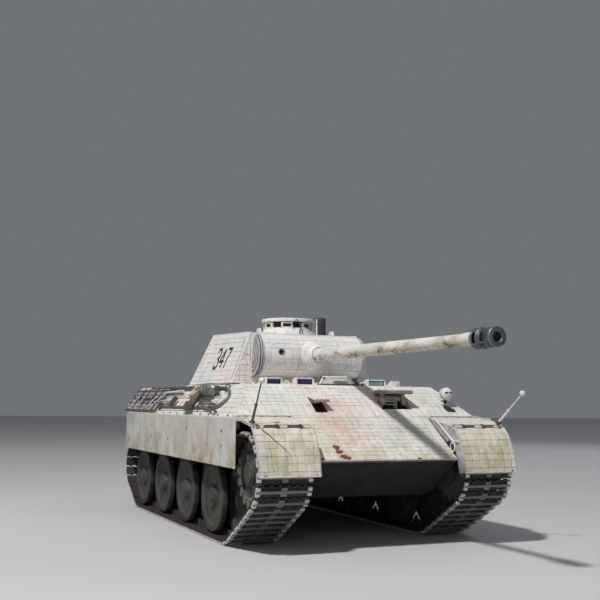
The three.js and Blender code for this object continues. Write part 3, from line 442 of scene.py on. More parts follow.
def coat(name, body, material, place, v_span, left, right, holes=(), rust=(), square=SQUARE, row=4.5,
         thick=0.4, seed=1, slot="whitewash_plastic", warm=()):
    """A coat over a plate.

    place(u, v, lift) is a point; u runs across between left(v) and right(v), v runs down.
    """
    rng = random.Random(seed)
    u_low = min(left(v_span[0]), left(v_span[1]))
    u_high = max(right(v_span[0]), right(v_span[1]))
    rows = []
    v, band = v_span[0], 0
    while v < v_span[1] - 1e-6:
        rows.append((v, 1, band))
        inner = v + GROOVE
        while inner < min(v + row - GROOVE * 0.5, v_span[1] - 0.1):
            rows.append((inner, 0, band))
            inner += RIDGE
        v += row
        band += 1
    rows.append((v_span[1], 0, band))
    rows = lines_with([v for hole in holes for v in hole[1] if v_span[0] < v < v_span[1]], rows, RIDGE * 0.9)
    columns = []
    u, cell = u_low, 0
    while u < u_high - 1e-6:
        for step, cut in ((-GROOVE, 0), (0, 1), (GROOVE, 0), (square * 0.36, 0), (square * 0.68, 0)):
            columns.append((u + step, cut, cell))
        u += square
        cell += 1
    columns = [c for c in columns if u_low <= c[0] <= u_high]
    columns = lines_with([u_low, u_high, *(u for hole in holes for u in hole[0])], columns)
    shifts = {(b, c): rng.uniform(-0.7, 0.7) for b in range(band + 1) for c in range(cell + 1)}
    lifts = {(b, c): rng.uniform(-0.05, 0.05) for b in range(band + 1) for c in range(cell + 1)}
    build = Build(material)
    index, data, groove_shades, rusts, warmth = {}, [], [], [], []

    def vertex(i, j):
        v, v_cut, b = rows[j]
        u, u_cut, c = columns[i]
        if c is not None and b is not None:
            u += shifts[(b, c)]
        inside = min(max(u, left(v)), right(v))
        key = (j, round(inside, 3))
        if key in index:
            return index[key]
        wave = noise.noise(Vector((inside * 0.31, v * 0.31, seed)))
        ridge = (0.1 if j % 2 else -0.08) * (0.8 + wave)
        cut = max(u_cut * 0.7, v_cut)
        lift = thick + ridge + 0.06 * wave + lifts.get((b, c), 0) - (0.24 if v_cut else 0.14 if u_cut else 0)
        index[key] = len(data)
        data.append((inside, v))
        build.verts.append(tuple(place(inside, v, lift)))
        groove_shades.append(float(cut))
        near = 0.0
        for ru, rv, reach in rust:
            near = max(near, 1.0 - math.hypot(inside - ru, v - rv) / reach)
        rusts.append(near)
        warmth.append(max([0.0, *(1.0 - math.hypot((inside - wu) / ru, (v - wv) / rv)
                                  for wu, wv, ru, rv in warm)]))
        return index[key]

    edges = {}
    for j in range(len(rows) - 1):
        for i in range(len(columns) - 1):
            cu = (columns[i][0] + columns[i + 1][0]) / 2
            cv = (rows[j][0] + rows[j + 1][0]) / 2
            if any(h[0][0] < cu < h[0][1] and h[1][0] < cv < h[1][1] for h in holes):
                continue
            face = list(dict.fromkeys([vertex(i, j), vertex(i + 1, j), vertex(i + 1, j + 1),
                                       vertex(i, j + 1)]))
            if len(face) < 3:
                continue
            build.faces.append(face)
            build.slots.append(0)
            for a, b in zip(face, face[1:] + face[:1]):
                edges[frozenset((a, b))] = edges.get(frozenset((a, b)), []) + [(a, b)]
    foot = {}
    for found in edges.values():
        if len(found) == 1:
            a, b = found[0]
            for k in (a, b):
                if k not in foot:
                    foot[k] = len(build.verts)
                    build.verts.append(tuple(place(*data[k], -0.1)))
                    # the coat's rim, where it meets the plate, also takes painted shade
                    groove_shades.append(0.6)
                    rusts.append(0.0)
                    warmth.append(0.0)
            build.faces.append([b, a, foot[a], foot[b]])
            build.slots.append(0)
    return build.piece(name, body, slot=slot, attributes={"groove_shade": groove_shades, "rust": rusts, "warmth": warmth},
                       smooth=60)


def facing(normal, at):
    """The normal, turned round if it points towards the middle of the model."""
    return normal if normal.dot(Vector(at) - MIDDLE) > 0 else -normal


def plane(origin, across, down):
    """place() of a flat plate: origin, the unit direction of u and the unit direction of v."""
    origin, across, down = Vector(origin), Vector(across).normalized(), Vector(down).normalized()
    out = facing(across.cross(down).normalized(), origin)
    return lambda u, v, lift: origin + across * u + down * v + out * lift


def quad_plate(a, b, c, d):
    """place(), length down, and left and right edges of a plate by its corners.

    a and b run along the top, with d and c below them.
    """
    a, b, c, d = map(Vector, (a, b, c, d))
    across = (b - a).normalized()
    out = facing((b - a).cross(d - a).normalized(), (a + c) / 2)
    down = (d - a) - across * (d - a).dot(across)
    down.normalize()
    flat = [((p - a).dot(across), (p - a).dot(down)) for p in (a, b, c, d)]
    length = (flat[2][1] + flat[3][1]) / 2
    # the sheet follows the four corners even where they aren't quite in one plane
    offs = [(p - a).dot(out) for p in (a, b, c, d)]

    def left(v):
        return flat[0][0] + (flat[3][0] - flat[0][0]) * v / length

    def right(v):
        return flat[1][0] + (flat[2][0] - flat[1][0]) * v / length

    def place(u, v, lift):
        t = v / length
        s = (u - left(v)) / max(right(v) - left(v), 1e-6)
        top, low = offs[0] + (offs[1] - offs[0]) * s, offs[3] + (offs[2] - offs[3]) * s
        drop = flat[1][1] * s * (1 - t) + ((flat[3][1] + (flat[2][1] - flat[3][1]) * s) - length) * t
        return a + across * u + down * (v + drop) + out * (top + (low - top) * t + lift)

    return place, length, left, right


# ---- hull planes, as the CAD has them -----------------------------------------------------------

ROOF_Z, SPONSON_Z, NOSE_Z = 116.1, 91.75, 62.9
ROOF_HALF, SPONSON_HALF, NOSE_HALF = 81.0, 100.25, 56.3
GLACIS_TOP_Y, REAR_TOP_Y = -64.3, 258.0
GLACIS_TAN, REAR_TAN = math.tan(math.radians(55)), math.tan(math.radians(30))
SIDE_TAN = (SPONSON_HALF - ROOF_HALF) / (ROOF_Z - SPONSON_Z)
SLOPE = math.radians(35)
GLACIS_OUT = Vector((0, -math.sin(SLOPE), math.cos(SLOPE)))
GLACIS_DOWN = Vector((0, -math.cos(SLOPE), -math.sin(SLOPE)))


def glacis(x, v, lift=0.0):
    """A point v down the glacis from its top edge."""
    return Vector((x, GLACIS_TOP_Y, ROOF_Z)) + GLACIS_DOWN * v + GLACIS_OUT * lift


def glacis_y(z):
    return GLACIS_TOP_Y - (ROOF_Z - z) * GLACIS_TAN


def rear_y(z):
    return REAR_TOP_Y - (ROOF_Z - z) * REAR_TAN


def hull_side(side, y, z, lift=0.0):
    a = math.atan(SIDE_TAN)
    x = ROOF_HALF + (ROOF_Z - z) * SIDE_TAN + lift * math.cos(a)
    return Vector((side * x, y, z + lift * math.sin(a)))


def side_out(side):
    a = math.atan(SIDE_TAN)
    return Vector((side * math.cos(a), 0, math.sin(a)))


def turret_roof(y):
    return 161.75 + (y - 10.6) * (165.9 - 161.75) / (121.7 - 10.6)


# ---- hull: coat, fenders, roof ------------------------------------------------------------------

UPPER_LENGTH = (ROOF_Z - SPONSON_Z) / math.sin(SLOPE)
NOSE_LENGTH = (ROOF_Z - NOSE_Z) / math.sin(SLOPE)
SPREAD = (SPONSON_HALF - ROOF_HALF) / UPPER_LENGTH
VISOR = ((21.5, 48.0), (15.0, 31.4))
BOW_PORT = ((-36.5, -26.5), (19.2, 36.3))
LAMP_FOOT = ((77.2, 85.2), (19.5, 30.2))


def hull_coat():
    coat("glacis_coat_upper", "hull", WHITE, glacis, (0, UPPER_LENGTH), lambda v: -ROOF_HALF - SPREAD * v,
         lambda v: ROOF_HALF + SPREAD * v, (VISOR, BOW_PORT, LAMP_FOOT), ((-39.0, 27.0, 3.4),), seed=3,
         warm=((-22, 34, 22, 30),))
    coat("glacis_coat_lower", "hull", WHITE, glacis, (UPPER_LENGTH + 0.1, NOSE_LENGTH - 0.3),
         lambda v: -NOSE_HALF, lambda v: NOSE_HALF, (), ((-34.0, 88.5, 9.0), (-36, 83, 8.5), (-36.5, 78, 7.5),
                                                         (-32, 90, 7), (-51, 91, 4), (25, 92.5, 5)), seed=4,
         warm=((-24, 48, 30, 34), (-34, 80, 16, 30), (-16, 70, 12, 30)))
    for name, side in SIDES:
        across = (0, -side, 0)
        down = Vector((side * SIDE_TAN, 0, -1)).normalized()
        place = plane((side * ROOF_HALF, 0, ROOF_Z), across, down)
        length = math.hypot(SPONSON_HALF - ROOF_HALF, ROOF_Z - SPONSON_Z)

        def front(v, length=length):
            return glacis_y(ROOF_Z - v * (ROOF_Z - SPONSON_Z) / length)

        def rear(v, length=length):
            return rear_y(ROOF_Z - v * (ROOF_Z - SPONSON_Z) / length)

        if side > 0:
            ends = (lambda v, f=rear: -f(v), lambda v, f=front: -f(v))
        else:
            ends = (lambda v, f=front: f(v), lambda v, f=rear: f(v))
        coat(f"side_coat_{name}", "hull", WHITE, place, (0.2, length - 0.2), *ends, seed=5 + side, thick=0.3)


def fender_point(y):
    """Height of the fixed fender's upper face."""
    knots = ((-131.7, 87.6), (-99.4, 92.5), (-96.0, 93.0))
    for (ya, za), (yb, zb) in zip(knots, knots[1:]):
        if y <= yb:
            return za + (zb - za) * (y - ya) / (yb - ya)
    return 93.0


FLAP_CURVE = ((-133.6, 85.8), (-145.0, 78.0), (-149.3, 53.4))
FENDER_INNER, FENDER_OUTER = 57.6, 102.0
HINGE = (-133.4, 85.8)


def fenders():
    for name, side in SIDES:
        edges = sorted((side * FENDER_INNER, side * FENDER_OUTER))
        slope = Vector((0, -32.3, -4.9)).normalized()
        place = plane((0, -99.4, 92.5), (1, 0, 0), slope)
        coat(f"fender_coat_{name}", "hull", FENDER, place, (0.6, 32.2), lambda v, e=edges: e[0] + 0.4,
             lambda v, e=edges: e[1] - 0.4,
             ((((102 if side > 0 else -98.6) - 3.4, (102 if side > 0 else -98.6)), (27.5, 32.2)),),
             square=6.8, row=5.4, thick=0.22, seed=11 + side)
        b = Build(EDGE, BLACK_STEEL, TRIM)
        out = side * FENDER_OUTER
        b.tube([(out, y, fender_point(y) + 0.1) for y in (-96, -105, -115, -125, -131.6)], 0.8, 8)
        b.use(TRIM)
        b.tube([(edges[0], -98.6, 93.0), (edges[1], -98.6, 93.0)], 0.7, 8)
        b.use(BLACK_STEEL)
        b.tube([(edges[0] + 1, -99.9, 92.9), (edges[1] - 1, -99.9, 92.9)], 0.32, 6)
        b.tube([(edges[0] + 1, HINGE[0] + 1.5, HINGE[1] + 1.2),
                (edges[1] - 1, HINGE[0] + 1.5, HINGE[1] + 1.2)], 0.3, 6)
        for x in (61, 72, 83, 94, 100):
            b.rivet((side * x, -101.4, 92.6), (0, -0.15, 1), 0.75, 0.6)
        for x in (66, 83.5, 98):
            b.block((side * x - 0.8, side * x + 0.8), (HINGE[0] - 0.2, HINGE[0] + 2.6),
                    (HINGE[1] + 1.1, HINGE[1] + 1.9), 0.2, Matrix.Rotation(0.15, 3, "X"),
                    (0, HINGE[0], HINGE[1] + 1.3))
        b.piece(f"fender_edge_{name}", "hull")
        fender_flap(name, side, edges)


def fender_flap(name, side, edges):
    steps = 40
    path = [Vector((0, *bezier(*FLAP_CURVE, i / steps))) for i in range(steps + 1)]
    run = [0.0]
    for a, b in zip(path, path[1:]):
        run.append(run[-1] + (b - a).length)

    def place(u, v, lift):
        i = min(max(sum(1 for r in run if r <= v) - 1, 0), steps - 1)
        t = (v - run[i]) / (run[i + 1] - run[i])
        p = path[i].lerp(path[i + 1], t)
        lo, hi = path[max(i - 1, 0)], path[min(i + 2, steps)]
        tangent = (hi - lo).normalized()
        dent = 0.45 * noise.noise(Vector((u * 0.06, v * 0.08, side * 3.0)))
        return Vector((u, p.y, p.z)) + Vector((0, tangent.z, -tangent.y)) * (lift + dent + 0.3)

    coat(f"fender_flap_coat_{name}", f"fender_flap_{name}", FENDER, place, (2.2, run[-1] - 0.3),
         lambda v: edges[0] + 0.3, lambda v: edges[1] - 0.3, (),
         ((side * 98, run[-1], 5), (side * 60, run[-1], 4)), square=6.8, row=5.2, thick=0.28, seed=21 + side,
         slot="stained_whitewash")
    b = Build(TRIM, BLACK_STEEL, EDGE)
    b.use(EDGE)
    for x in edges:
        b.tube([place(x, v, -0.5) for v in [run[-1] * k / 16 for k in range(17)]], 0.85, 8)
    # the flange along the inner edge
    steps_v = [2.0 + (run[-1] - 2.4) * k / 16 for k in range(17)]
    flange = [place(side * (FENDER_INNER + dx), v, lift) for v in steps_v
              for dx, lift in ((0.15, -0.6), (0.15, -8.6 - 0.8 * math.sin(v * 0.1)),
                               (0.75, -8.6 - 0.8 * math.sin(v * 0.1)), (0.75, -0.6))]
    b.add(flange, [[k * 4 + i, k * 4 + (i + 1) % 4, k * 4 + 4 + (i + 1) % 4, k * 4 + 4 + i] for k in range(16)
                   for i in range(4)] + [[3, 2, 1, 0], [64, 65, 66, 67]])
    b.use(TRIM)
    b.tube([place(x, run[-1] - 0.2, -0.2) for x in (edges[0], (edges[0] + edges[1]) / 2, edges[1])], 0.6, 8)
    b.use(BLACK_STEEL)
    b.rod((edges[0] + 1, *HINGE), (edges[1] - 1, *HINGE), 0.35, seg=8)
    for x in (66, 83.5, 98):
        b.rod((side * x - 1.6, *HINGE), (side * x + 1.6, *HINGE), 1.3, seg=14)
        b.block((side * x - 0.9, side * x + 0.9), (HINGE[0] - 3.6, HINGE[0] + 0.4),
                (HINGE[1] - 0.6, HINGE[1] + 0.35), 0.2, Matrix.Rotation(0.62, 3, "X"), (0, *HINGE))
    if side < 0:
        b.tube([place(u, v, 0.42) for u, v in ((-96, 3), (-92.5, 7), (-88, 12.5), (-83, 18), (-79, 22.5))],
               lambda t: 0.42 - 0.24 * t, 6)
        b.tube([place(u, v, 0.36) for u, v in ((-93.5, 14), (-93, 22), (-92, 33))], 0.16, 6)
    b.piece(f"fender_flap_edge_{name}", f"fender_flap_{name}", slot="stained_whitewash")


def roof():
    b = Build(TRIM, BLACK_STEEL, GLASS_BLUE, GLASS_TEAL_GLINT, PAINTED_SHADE)
    for x, half, top, glass in ((-56, 6.4, 121, GLASS_BLUE), (-30, 7.2, 121.4, GLASS_BLUE),
                                (33.5, 7.6, 121, GLASS_TEAL_GLINT)):
        b.use(TRIM)
        b.block((x - half - 0.4, x + half + 0.4), (-59.1, -52), (top - 0.3, top + 0.9), 0.5, segments=2)
        for s in (-1, 1):
            b.block((x + s * half - 0.8, x + s * half + 0.8), (-59, -52), (ROOF_Z, top), 0.35)
        b.block((x - half, x + half), (-58.9, -56), (ROOF_Z, ROOF_Z + 0.9), 0.25)
        # painted shade behind each periscope's glass
        b.use(PAINTED_SHADE).block((x - half + 0.8, x + half - 0.8), (-58.35, -57.5), (ROOF_Z + 0.8, top - 0.2), 0.1)
        b.use(glass).block((x - half + 1.7, x + half - 1.7), (-58.6, -57.6), (ROOF_Z + 1.4, top - 0.8), 0.2)
        b.use(TRIM)
        for s in (-1, 1):
            b.bolt((x + s * (half - 1.6), -54.4, top + 0.8), (0, 0, 1), 0.6, 0.5)
    b.use(TRIM).block((48.0, 55.0), (-59.2, -53), (ROOF_Z, 121.2), 0.6, segments=2)
    b.block((50, 53), (-59.8, -58.6), (117.4, 120), 0.3)
    # weld beads along the roof's edges, and the panel lines of the roof
    for y in (-62.9, 143.0):
        b.tube([(x, y + 0.12 * math.sin(x * 2.1), ROOF_Z + 0.1) for x in range(-80, 81, 2)], 0.45, 6)
    for s in (-1, 1):
        b.tube([(s * 79.7 + 0.12 * math.sin(y * 1.9), y, ROOF_Z + 0.1) for y in range(-62, 257, 3)], 0.42, 6)
        b.tube([(s * 62.4, y, ROOF_Z + 0.05) for y in range(-46, 142, 4)], 0.3, 6)
    # ventilator between the hatches, its guard and the hatch frames
    b.lathe((0, -36, ROOF_Z), (0, 0, 1), [(8.6, 0), (8.6, 0.9), (7.6, 1.5), (7.2, 1.6)], 32)
    b.lathe((0, -36, ROOF_Z + 1.4), (0, 0, 1), [(7.4, 0), (7.4, 0.7), (6.4, 1.3), (3.0, 1.8), (0, 1.9)], 32)
    for k in range(6):
        a = math.tau * (k + 0.5) / 6
        b.bolt((7.9 * math.cos(a), -36 + 7.9 * math.sin(a), ROOF_Z + 1.0), (0, 0, 1), 0.55, 0.5)
    for s in (-1, 1):
        for x0, x1, y0, y1 in ((29, 30.2, -47.6, -18.4), (30.2, 61.4, -48.4, -47), (30.2, 61.4, -19, -17.6)):
            b.block((s * x0, s * x1), (y0, y1), (ROOF_Z - 0.1, ROOF_Z + 1.1), 0.25)
        b.lathe((s * 70, -28, ROOF_Z), (0, 0, 1), [(3.2, 0), (3.2, 0.8), (2.4, 1.5), (0, 1.7)], 20)
        b.bolt((s * 70, -50, ROOF_Z), (0, 0, 1), 1.1, 1.0)
    for x, y in ((-74, 20), (74, 20), (-74, 110), (74, 110), (-72, 236), (72, 236)):
        b.lathe((x, y, ROOF_Z), (0, 0, 1), [(2.0, 0), (2.0, 0.6), (1.2, 1.1), (0, 1.2)], 16)
    b.piece("roof_fittings", "hull", slot="whitewash_plastic")


def hatches():
    for node, side in (("driver_hatch", 1), ("radio_operator_hatch", -1)):
        b = Build(TRIM, BLACK_STEEL)
        z = ROOF_Z + 1.9
        b.tube([(side * x, y, z) for x, y in ((32, -45), (55.6, -45), (58, -42.6), (58, -23.4), (55.6, -21),
                                              (32, -21))], 0.4, 8, closed=True)
        b.lathe((side * 44, -33, z - 0.1), (0, 0, 1), [(4.6, 0), (4.6, 0.5), (4.0, 0.9), (3.4, 0.9),
                                                       (3.2, 0.5), (0, 0.6)], 28)
        b.tube([(side * x, y, h) for x, y, h in ((34.6, -37, z), (34.6, -37, z + 2), (34.6, -29, z + 2),
                                                 (34.6, -29, z))], 0.5, 8)
        b.use(BLACK_STEEL)
        for y in (-40, -26):
            b.block((side * 52, side * 60), (y - 1.8, y + 1.8), (z - 0.1, z + 0.7), 0.25)
            b.rod((side * 60, y - 3.3, ROOF_Z + 1.5), (side * 60, y + 3.3, ROOF_Z + 1.5), 0.7)
            b.bolt((side * 54, y, z + 0.6), (0, 0, 1), 0.6, 0.5)
        b.piece(f"{node}_details", node, slot="whitewash_plastic")


def visor():
    """What shows inside the open visor, and the raised slab with its legs."""
    b = Build(TRIM, BLACK_STEEL, PAINTED_SHADE, GLASS_TEAL_GLINT)
    x0, x1 = VISOR[0]
    for x in (x0 + 0.1, x1 - 0.1):
        b.convex([glacis(x + s * 0.35, v, h) for s in (-1, 1) for v in (17.2, 31.2) for h in (-3.2, -0.4)],
                 0.1)
    b.convex([glacis(x, v, h) for x in (x0, x1) for v in (30.6, 31.5) for h in (-3.0, -0.4)], 0.1)
    # painted shade: dark blocks behind the visor opening, so that no pale deck shows under the slab
    b.use(PAINTED_SHADE).block((x0 - 0.2, x1 + 0.2), (-75.6, -74.8), (95, 108.9), 0.1)
    b.block((30.6, 38.9), (-74.7, -74.2), (108, 110.4), 0.1)
    b.use(TRIM)
    for z, y in ((106.6, -78.2), (104.4, -79.6), (102.2, -81.0)):
        b.block((x0 + 3.6, x1 - 9.5), (y - 0.5, y + 0.5), (z - 0.35, z + 0.35), 0.15)
    for x in (x0 + 3.9, x1 - 9.8):
        b.convex([(x + w, y, z) for w in (0, 0.8) for y, z in ((-82, 99), (-77, 99), (-82, 104.2),
                                                               (-77, 107.7))], 0.15)
    # a bright bar of glass inside the visor, its paleness a painted reflection
    b.use(GLASS_TEAL_GLINT).block((x0 + 4.8, x1 - 10.4), (-80.1, -79.5), (104.9, 105.8), 0.1)
    b.use(BLACK_STEEL).rod((x1 - 3.6, -77.2, 100), (x1 - 2.2, -76.4, 107.4), 0.5)
    b.piece("visor_frame", "hull")
    b = Build(OLIVE_GREY, BLACK_STEEL)
    b.block((21.4, 47.4), (-93.2, -75.1), (110.3, 113.0), 0.6, segments=2)
    for x in (23.6, 41.2):
        b.convex([(x + s * 1.3, y, z) for s in (-1, 1)
                  for y, z in ((-87.9, 111), (-83.6, 111), (-87.9, 101.7), (-88.9, 102.4))], 0.2)
    stay = ((41.6, -84, 110.5), (43.2, -82.6, 110.5), (45.6, -87.4, 102.4), (47.0, -86.8, 102.2))
    b.convex([(x + s * 0.5, y, z) for s in (-1, 1) for x, y, z in stay], 0.15)
    b.use(BLACK_STEEL)
    for x in (27, 42.5):
        b.rod((x - 3.4, -74.6, 110.6), (x + 3.4, -74.6, 110.6), 1.35, seg=14)
    for x in (24.5, 44):
        b.bolt((x, -79, 112.9), (0, 0, 1), 0.8, 0.6)
    b.piece("visor_slab", "driver_visor_flap", replaces="driver_visor_flap", slot="whitewash_plastic")


def bow_port():
    """The recess behind the bow machine-gun port, and the raised flap over it."""
    b = Build(SHADED_MAROON, PAINTED_SHADE)
    # dark red walls of the recess, darkened as painted shade
    for x in (-36.2, -26.8):
        b.convex([glacis(x + s * 0.25, v, h) for s in (-1, 1) for v in (19.4, 36.2) for h in (-3.2, 0.35)],
                 0.1)
    b.convex([glacis(x, v, h) for x in (-36.4, -26.6) for v in (35.4, 36.3) for h in (-3.0, 0.3)], 0.1)
    # painted shade at the back of the recess
    b.use(PAINTED_SHADE).convex([glacis(x, v, h) for x in (-37, -26) for v in (19.0, 36.5) for h in (-4.4, -3.4)],
                        0.1)
    b.piece("bow_port_recess", "hull")
    turn = Matrix.Rotation(SLOPE - math.radians(24), 3, "X")
    hinge = glacis(-31.5, (78.2 - 64.3) / math.cos(SLOPE)) + Vector((0, 0, 0.9))
    b = Build(WHITE, LIP, BLACK_STEEL)
    b.use(WHITE).convex([hinge + turn @ Vector((x, y, z)) for x in (-5.7, 5.7) for y in (-17.1, 0.1)
                         for z in (0, 1.9)], 0.35)
    b.use(LIP).convex([hinge + turn @ Vector((x, y, z)) for x in (-5.8, 5.8) for y in (-17.3, -15.4)
                       for z in (-0.6, 1.5)], 0.3)
    b.use(BLACK_STEEL).rod(hinge + Vector((-4.6, -0.2, 0.9)), hinge + Vector((4.6, -0.2, 0.9)), 0.9)
    b.piece("bow_port_slab", "bow_port_flap", replaces="bow_port_flap", slot="whitewash_plastic")


def travel_lock():
    b = Build(TRIM, BLACK_STEEL)
    outline = [(-18, 117.4), (-14.6, 123), (14, 123), (17.6, 117.4)]
    for (xa, za), (xb, zb) in zip(outline, outline[1:]):
        direction = Vector((xb - xa, 0, zb - za)).normalized()
        b.tube([Vector((xa, -60, za)) - direction * 0.4, Vector((xb, -60, zb)) + direction * 0.4], 0.85, 10)
    b.convex([(x, y, z) for y in (-60.5, -59.5) for x, z in ((-17, 117.2), (-14, 122.6), (-5.6, 122.6),
                                                             (-5.6, 119.9), (-7.2, 117.2))], 0.15)
    b.convex([(x, y, z) for y in (-60.5, -59.5) for x, z in ((16.6, 117.2), (13.6, 122.6), (6.4, 122.6),
                                                             (6.6, 119.9), (8, 117.2))], 0.15)
    b.convex([(x, y, z) for y in (-60.5, -59.5) for x, z in ((-6, 120.2), (6.8, 120.2), (6.8, 122.6),
                                                             (-6, 122.6))], 0.15)
    b.use(BLACK_STEEL).rod((-20.2, -60, 117.4), (20.2, -60, 117.4), 0.75)
    # painted shadow of the gun: a dark slanted plate over the right part of the frame
    b.convex([(x, y, z) for y in (-61.1, -60.6) for x, z in ((13.2, 118), (9.2, 122.4), (12.6, 122.4),
                                                             (16.2, 118))], 0.1)
    for x in (-14.6, 14):
        b.rod((x, -60.95, 122.2), (x, -59.05, 122.2), 1.0)
    b.piece("travel_lock_frame", "gun_travel_lock", replaces="gun_travel_lock", slot="whitewash_plastic")


def headlight():
    b = Build(TRIM, BLACK_STEEL, PAINTED_SHADE)
    at = Vector((81.2, -86, 111))
    b.lathe(at, (0, -1, 0.05), [(0, -5.1), (2.6, -4.6), (4.3, -3.0), (5.1, -0.6), (5.15, 1.0), (5.0, 1.8),
                                (4.3, 3.4), (2.6, 4.6), (0, 5.1)], 28)
    b.use(BLACK_STEEL).lathe(at, (0, -1, 0.05), [(5.0, 0.7), (5.18, 0.9), (5.18, 1.5), (5.0, 1.7)], 28)
    # painted shade: a dark slit on the lamp's face, and the stem under the lamp
    b.use(PAINTED_SHADE).convex([at + Vector((x, y, z)) for x in (-3.2, 3.2) for y in (-4.9, -3) for z in (0.2, 1.5)],
                        0.2)
    b.rod((81.2, -84.9, 102.8), (81.2, -85.2, 106.6), 1.0)
    # painted shade: a dark patch on the glacis below the lamp, standing for a recess that the plate doesn't
    # have
    b.use(PAINTED_SHADE).convex([glacis(x, v, h) for x, v in ((77.6, 28.6), (80.2, 25.4), (86.6, 31.4), (86.2, 34.6),
                                                      (78.8, 34.0)) for h in (0.2, 0.95)], 0.15)
    b.use(TRIM)
    b.convex([glacis(x, v, h) for x in (77.6, 84.8) for v in (19.8, 25.2) for h in (0.3, 1.6)], 0.25)
    b.use(BLACK_STEEL)
    for x in (78.6, 83.8):
        b.bolt(glacis(x, 22.5, 1.5), GLACIS_OUT, 0.6, 0.5)
    b.piece("headlight_lamp", "hull", replaces="headlight", slot="trim_paint")


def width_rods():
    for name, side in SIDES:
        foot = Vector((side * 100.5, -129.5, 88.9))
        top = Vector((-95.5, -134, 117.5)) if side < 0 else Vector((105, -154, 111.2))
        b = Build(BLACK_STEEL, TRIM)
        dark = side < 0
        b.use(BLACK_STEEL).block((side * 98.9, side * 102.1), (-131.6, -127.4), (88.5, 90.2), 0.3)
        b.use(BLACK_STEEL if dark else TRIM)
        b.rod(foot, foot.lerp(top, 0.42), 1.0, 0.85, 12)
        b.rod(foot.lerp(top, 0.4), foot.lerp(top, 0.45), 1.15, 1.15, 12)
        b.rod(foot.lerp(top, 0.42), top, 0.55, 0.5, 10)
        b.use(TRIM).ball(top, 2.2, 24)
        b.piece(f"width_rod_ball_{name}", "hull", replaces=f"width_rod_{name}", slot="trim_paint")


# one of the belly plates is left out here
BARE_BELLY_Y = 100


def lower_hull():
    """Tow shackles, final drive bolts, weld beads, belly plates, and the left fender's inner plate."""
    b = Build(HULL_SHADE, BLACK_STEEL, TRIM, EDGE)
    nose = Vector((0, glacis_y(NOSE_Z), NOSE_Z))
    for side in (-1, 1):
        b.use(BLACK_STEEL)
        at = Vector((side * 58.5, -129.5, 69.5))
        b.tube([at + Vector((side * 0.2, 3.6 * math.cos(a), 5.2 * math.sin(a) - 3.6)) for a in
                [math.tau * k / 20 for k in range(20)]], 0.95, 8, closed=True)
        b.rod(at - Vector((2.2, 0, 0)), at + Vector((2.2, 0, 0)), 1.5)
        for k in range(10):
            a = math.tau * k / 10
            b.bolt((side * 62.3, -116.5 + 9.6 * math.cos(a), 54 + 9.6 * math.sin(a)), (side, 0, 0), 0.9, 0.8)
        b.lathe((side * 62.4, -116.5, 54), (side, 0, 0), [(11.8, -0.4), (11.8, 0.2), (11.0, 0.8), (8.2, 0.8),
                                                          (8, 0.2)], 32)
    # weld beads and belly plates in the lower hull's painted-shade near-black
    b.use(HULL_SHADE)
    b.tube([(x, nose.y + 1.2 + 0.15 * math.sin(x), NOSE_Z - 0.6) for x in range(-55, 56, 2)], 0.6, 6)
    for side in (-1, 1):
        b.tube([(side * 55.6, nose.y + (NOSE_Z - z) * 1.44 + 0.4, z) for z in (61, 54, 47, 40, 36)], 0.6, 6)
    for y in range(-60, 240, 40):
        if y == BARE_BELLY_Y:
            continue
        b.block((-22, 22), (y - 9, y + 9), (33.3, 34.1), 0.3)
        for x in (-19, 19):
            b.bolt((x, y + 6, 33.4), (0, 0, -1), 0.8, 0.2)
    b.use(EDGE)
    b.convex([(x, y, z) for x in (57.7, 58.5) for y, z in ((-97.4, 92), (-131.4, 87.2), (-133.4, 72),
                                                           (-122.9, 75), (-99, 91.2))], 0.2)
    b.use(TRIM)
    b.rod((57.0, -107.4, 92.4), (57.0, -133.6, 75.6), 0.7)
    b.rod((57.0, -133.2, 75.6), (57.0, -141.5, 75.6), 0.6)
    b.tube([Vector((57.0, -133.6 + 2.7 * math.cos(a), 71.4 + 3.3 * math.sin(a)))
            for a in [math.tau * k / 18 for k in range(18)]], 0.7, 8, closed=True)
    b.piece("lower_hull_fittings", "hull", slot="dark_hull")


# ---- right side stowage -------------------------------------------------------------------------


def curve(points, n):
    """A smooth line through the points, with n steps between each two."""
    smooth = []
    for i in range(len(points) - 1):
        p0, p1, p2, p3 = points[max(i - 1, 0)], points[i], points[i + 1], points[min(i + 2, len(points) - 1)]
        for k in range(n):
            t = k / n
            smooth.append(0.5 * (2 * p1 + (p2 - p0) * t + (2 * p0 - 5 * p1 + 4 * p2 - p3) * t * t
                                 + (3 * p1 - p0 - 3 * p2 + p3) * t ** 3))
    return smooth + [points[-1]]


def tow_cable():
    """Six strands along the cable's route, with an eye and a socket at each end."""
    route = [(14, 112.5), (0, 112.8), (-14, 113), (-32, 112.4), (-46, 109.4), (-52, 104), (-46, 99.2),
             (-32, 97.6), (-10, 97.2), (20, 97), (50, 97), (80, 97), (112, 97)]
    smooth = curve([hull_side(-1, y, z, 1.9) for y, z in route], 10)
    b = Build(TOOLED, BLACK_STEEL)
    total = len(smooth)
    for strand in range(6):
        line = []
        for i, p in enumerate(smooth):
            t = (smooth[min(i + 1, total - 1)] - smooth[max(i - 1, 0)]).normalized()
            n = side_out(-1)
            n = (n - t * n.dot(t)).normalized()
            a = math.tau * (strand / 6 + i * 0.13)
            line.append(p + (n * math.cos(a) + t.cross(n) * math.sin(a)) * 0.72)
        b.tube(line, 0.5, 6)
    b.use(BLACK_STEEL)
    for y, z in ((17, 112.5), (115, 97)):
        c = hull_side(-1, y, z, 1.9)
        n = side_out(-1)
        u = Vector((0, 1, 0))
        w = n.cross(u)
        b.tube([c + (u * math.cos(a) + w * math.sin(a)) * 3 for a in [math.tau * k / 20 for k in range(20)]],
               0.95, 8, closed=True)
        b.rod(c - u * 3.2, c - u * 9, 1.5, 1.3)
    b.piece("tow_cable_strands", "hull", replaces="tow_cable_right", slot="dark_steel")


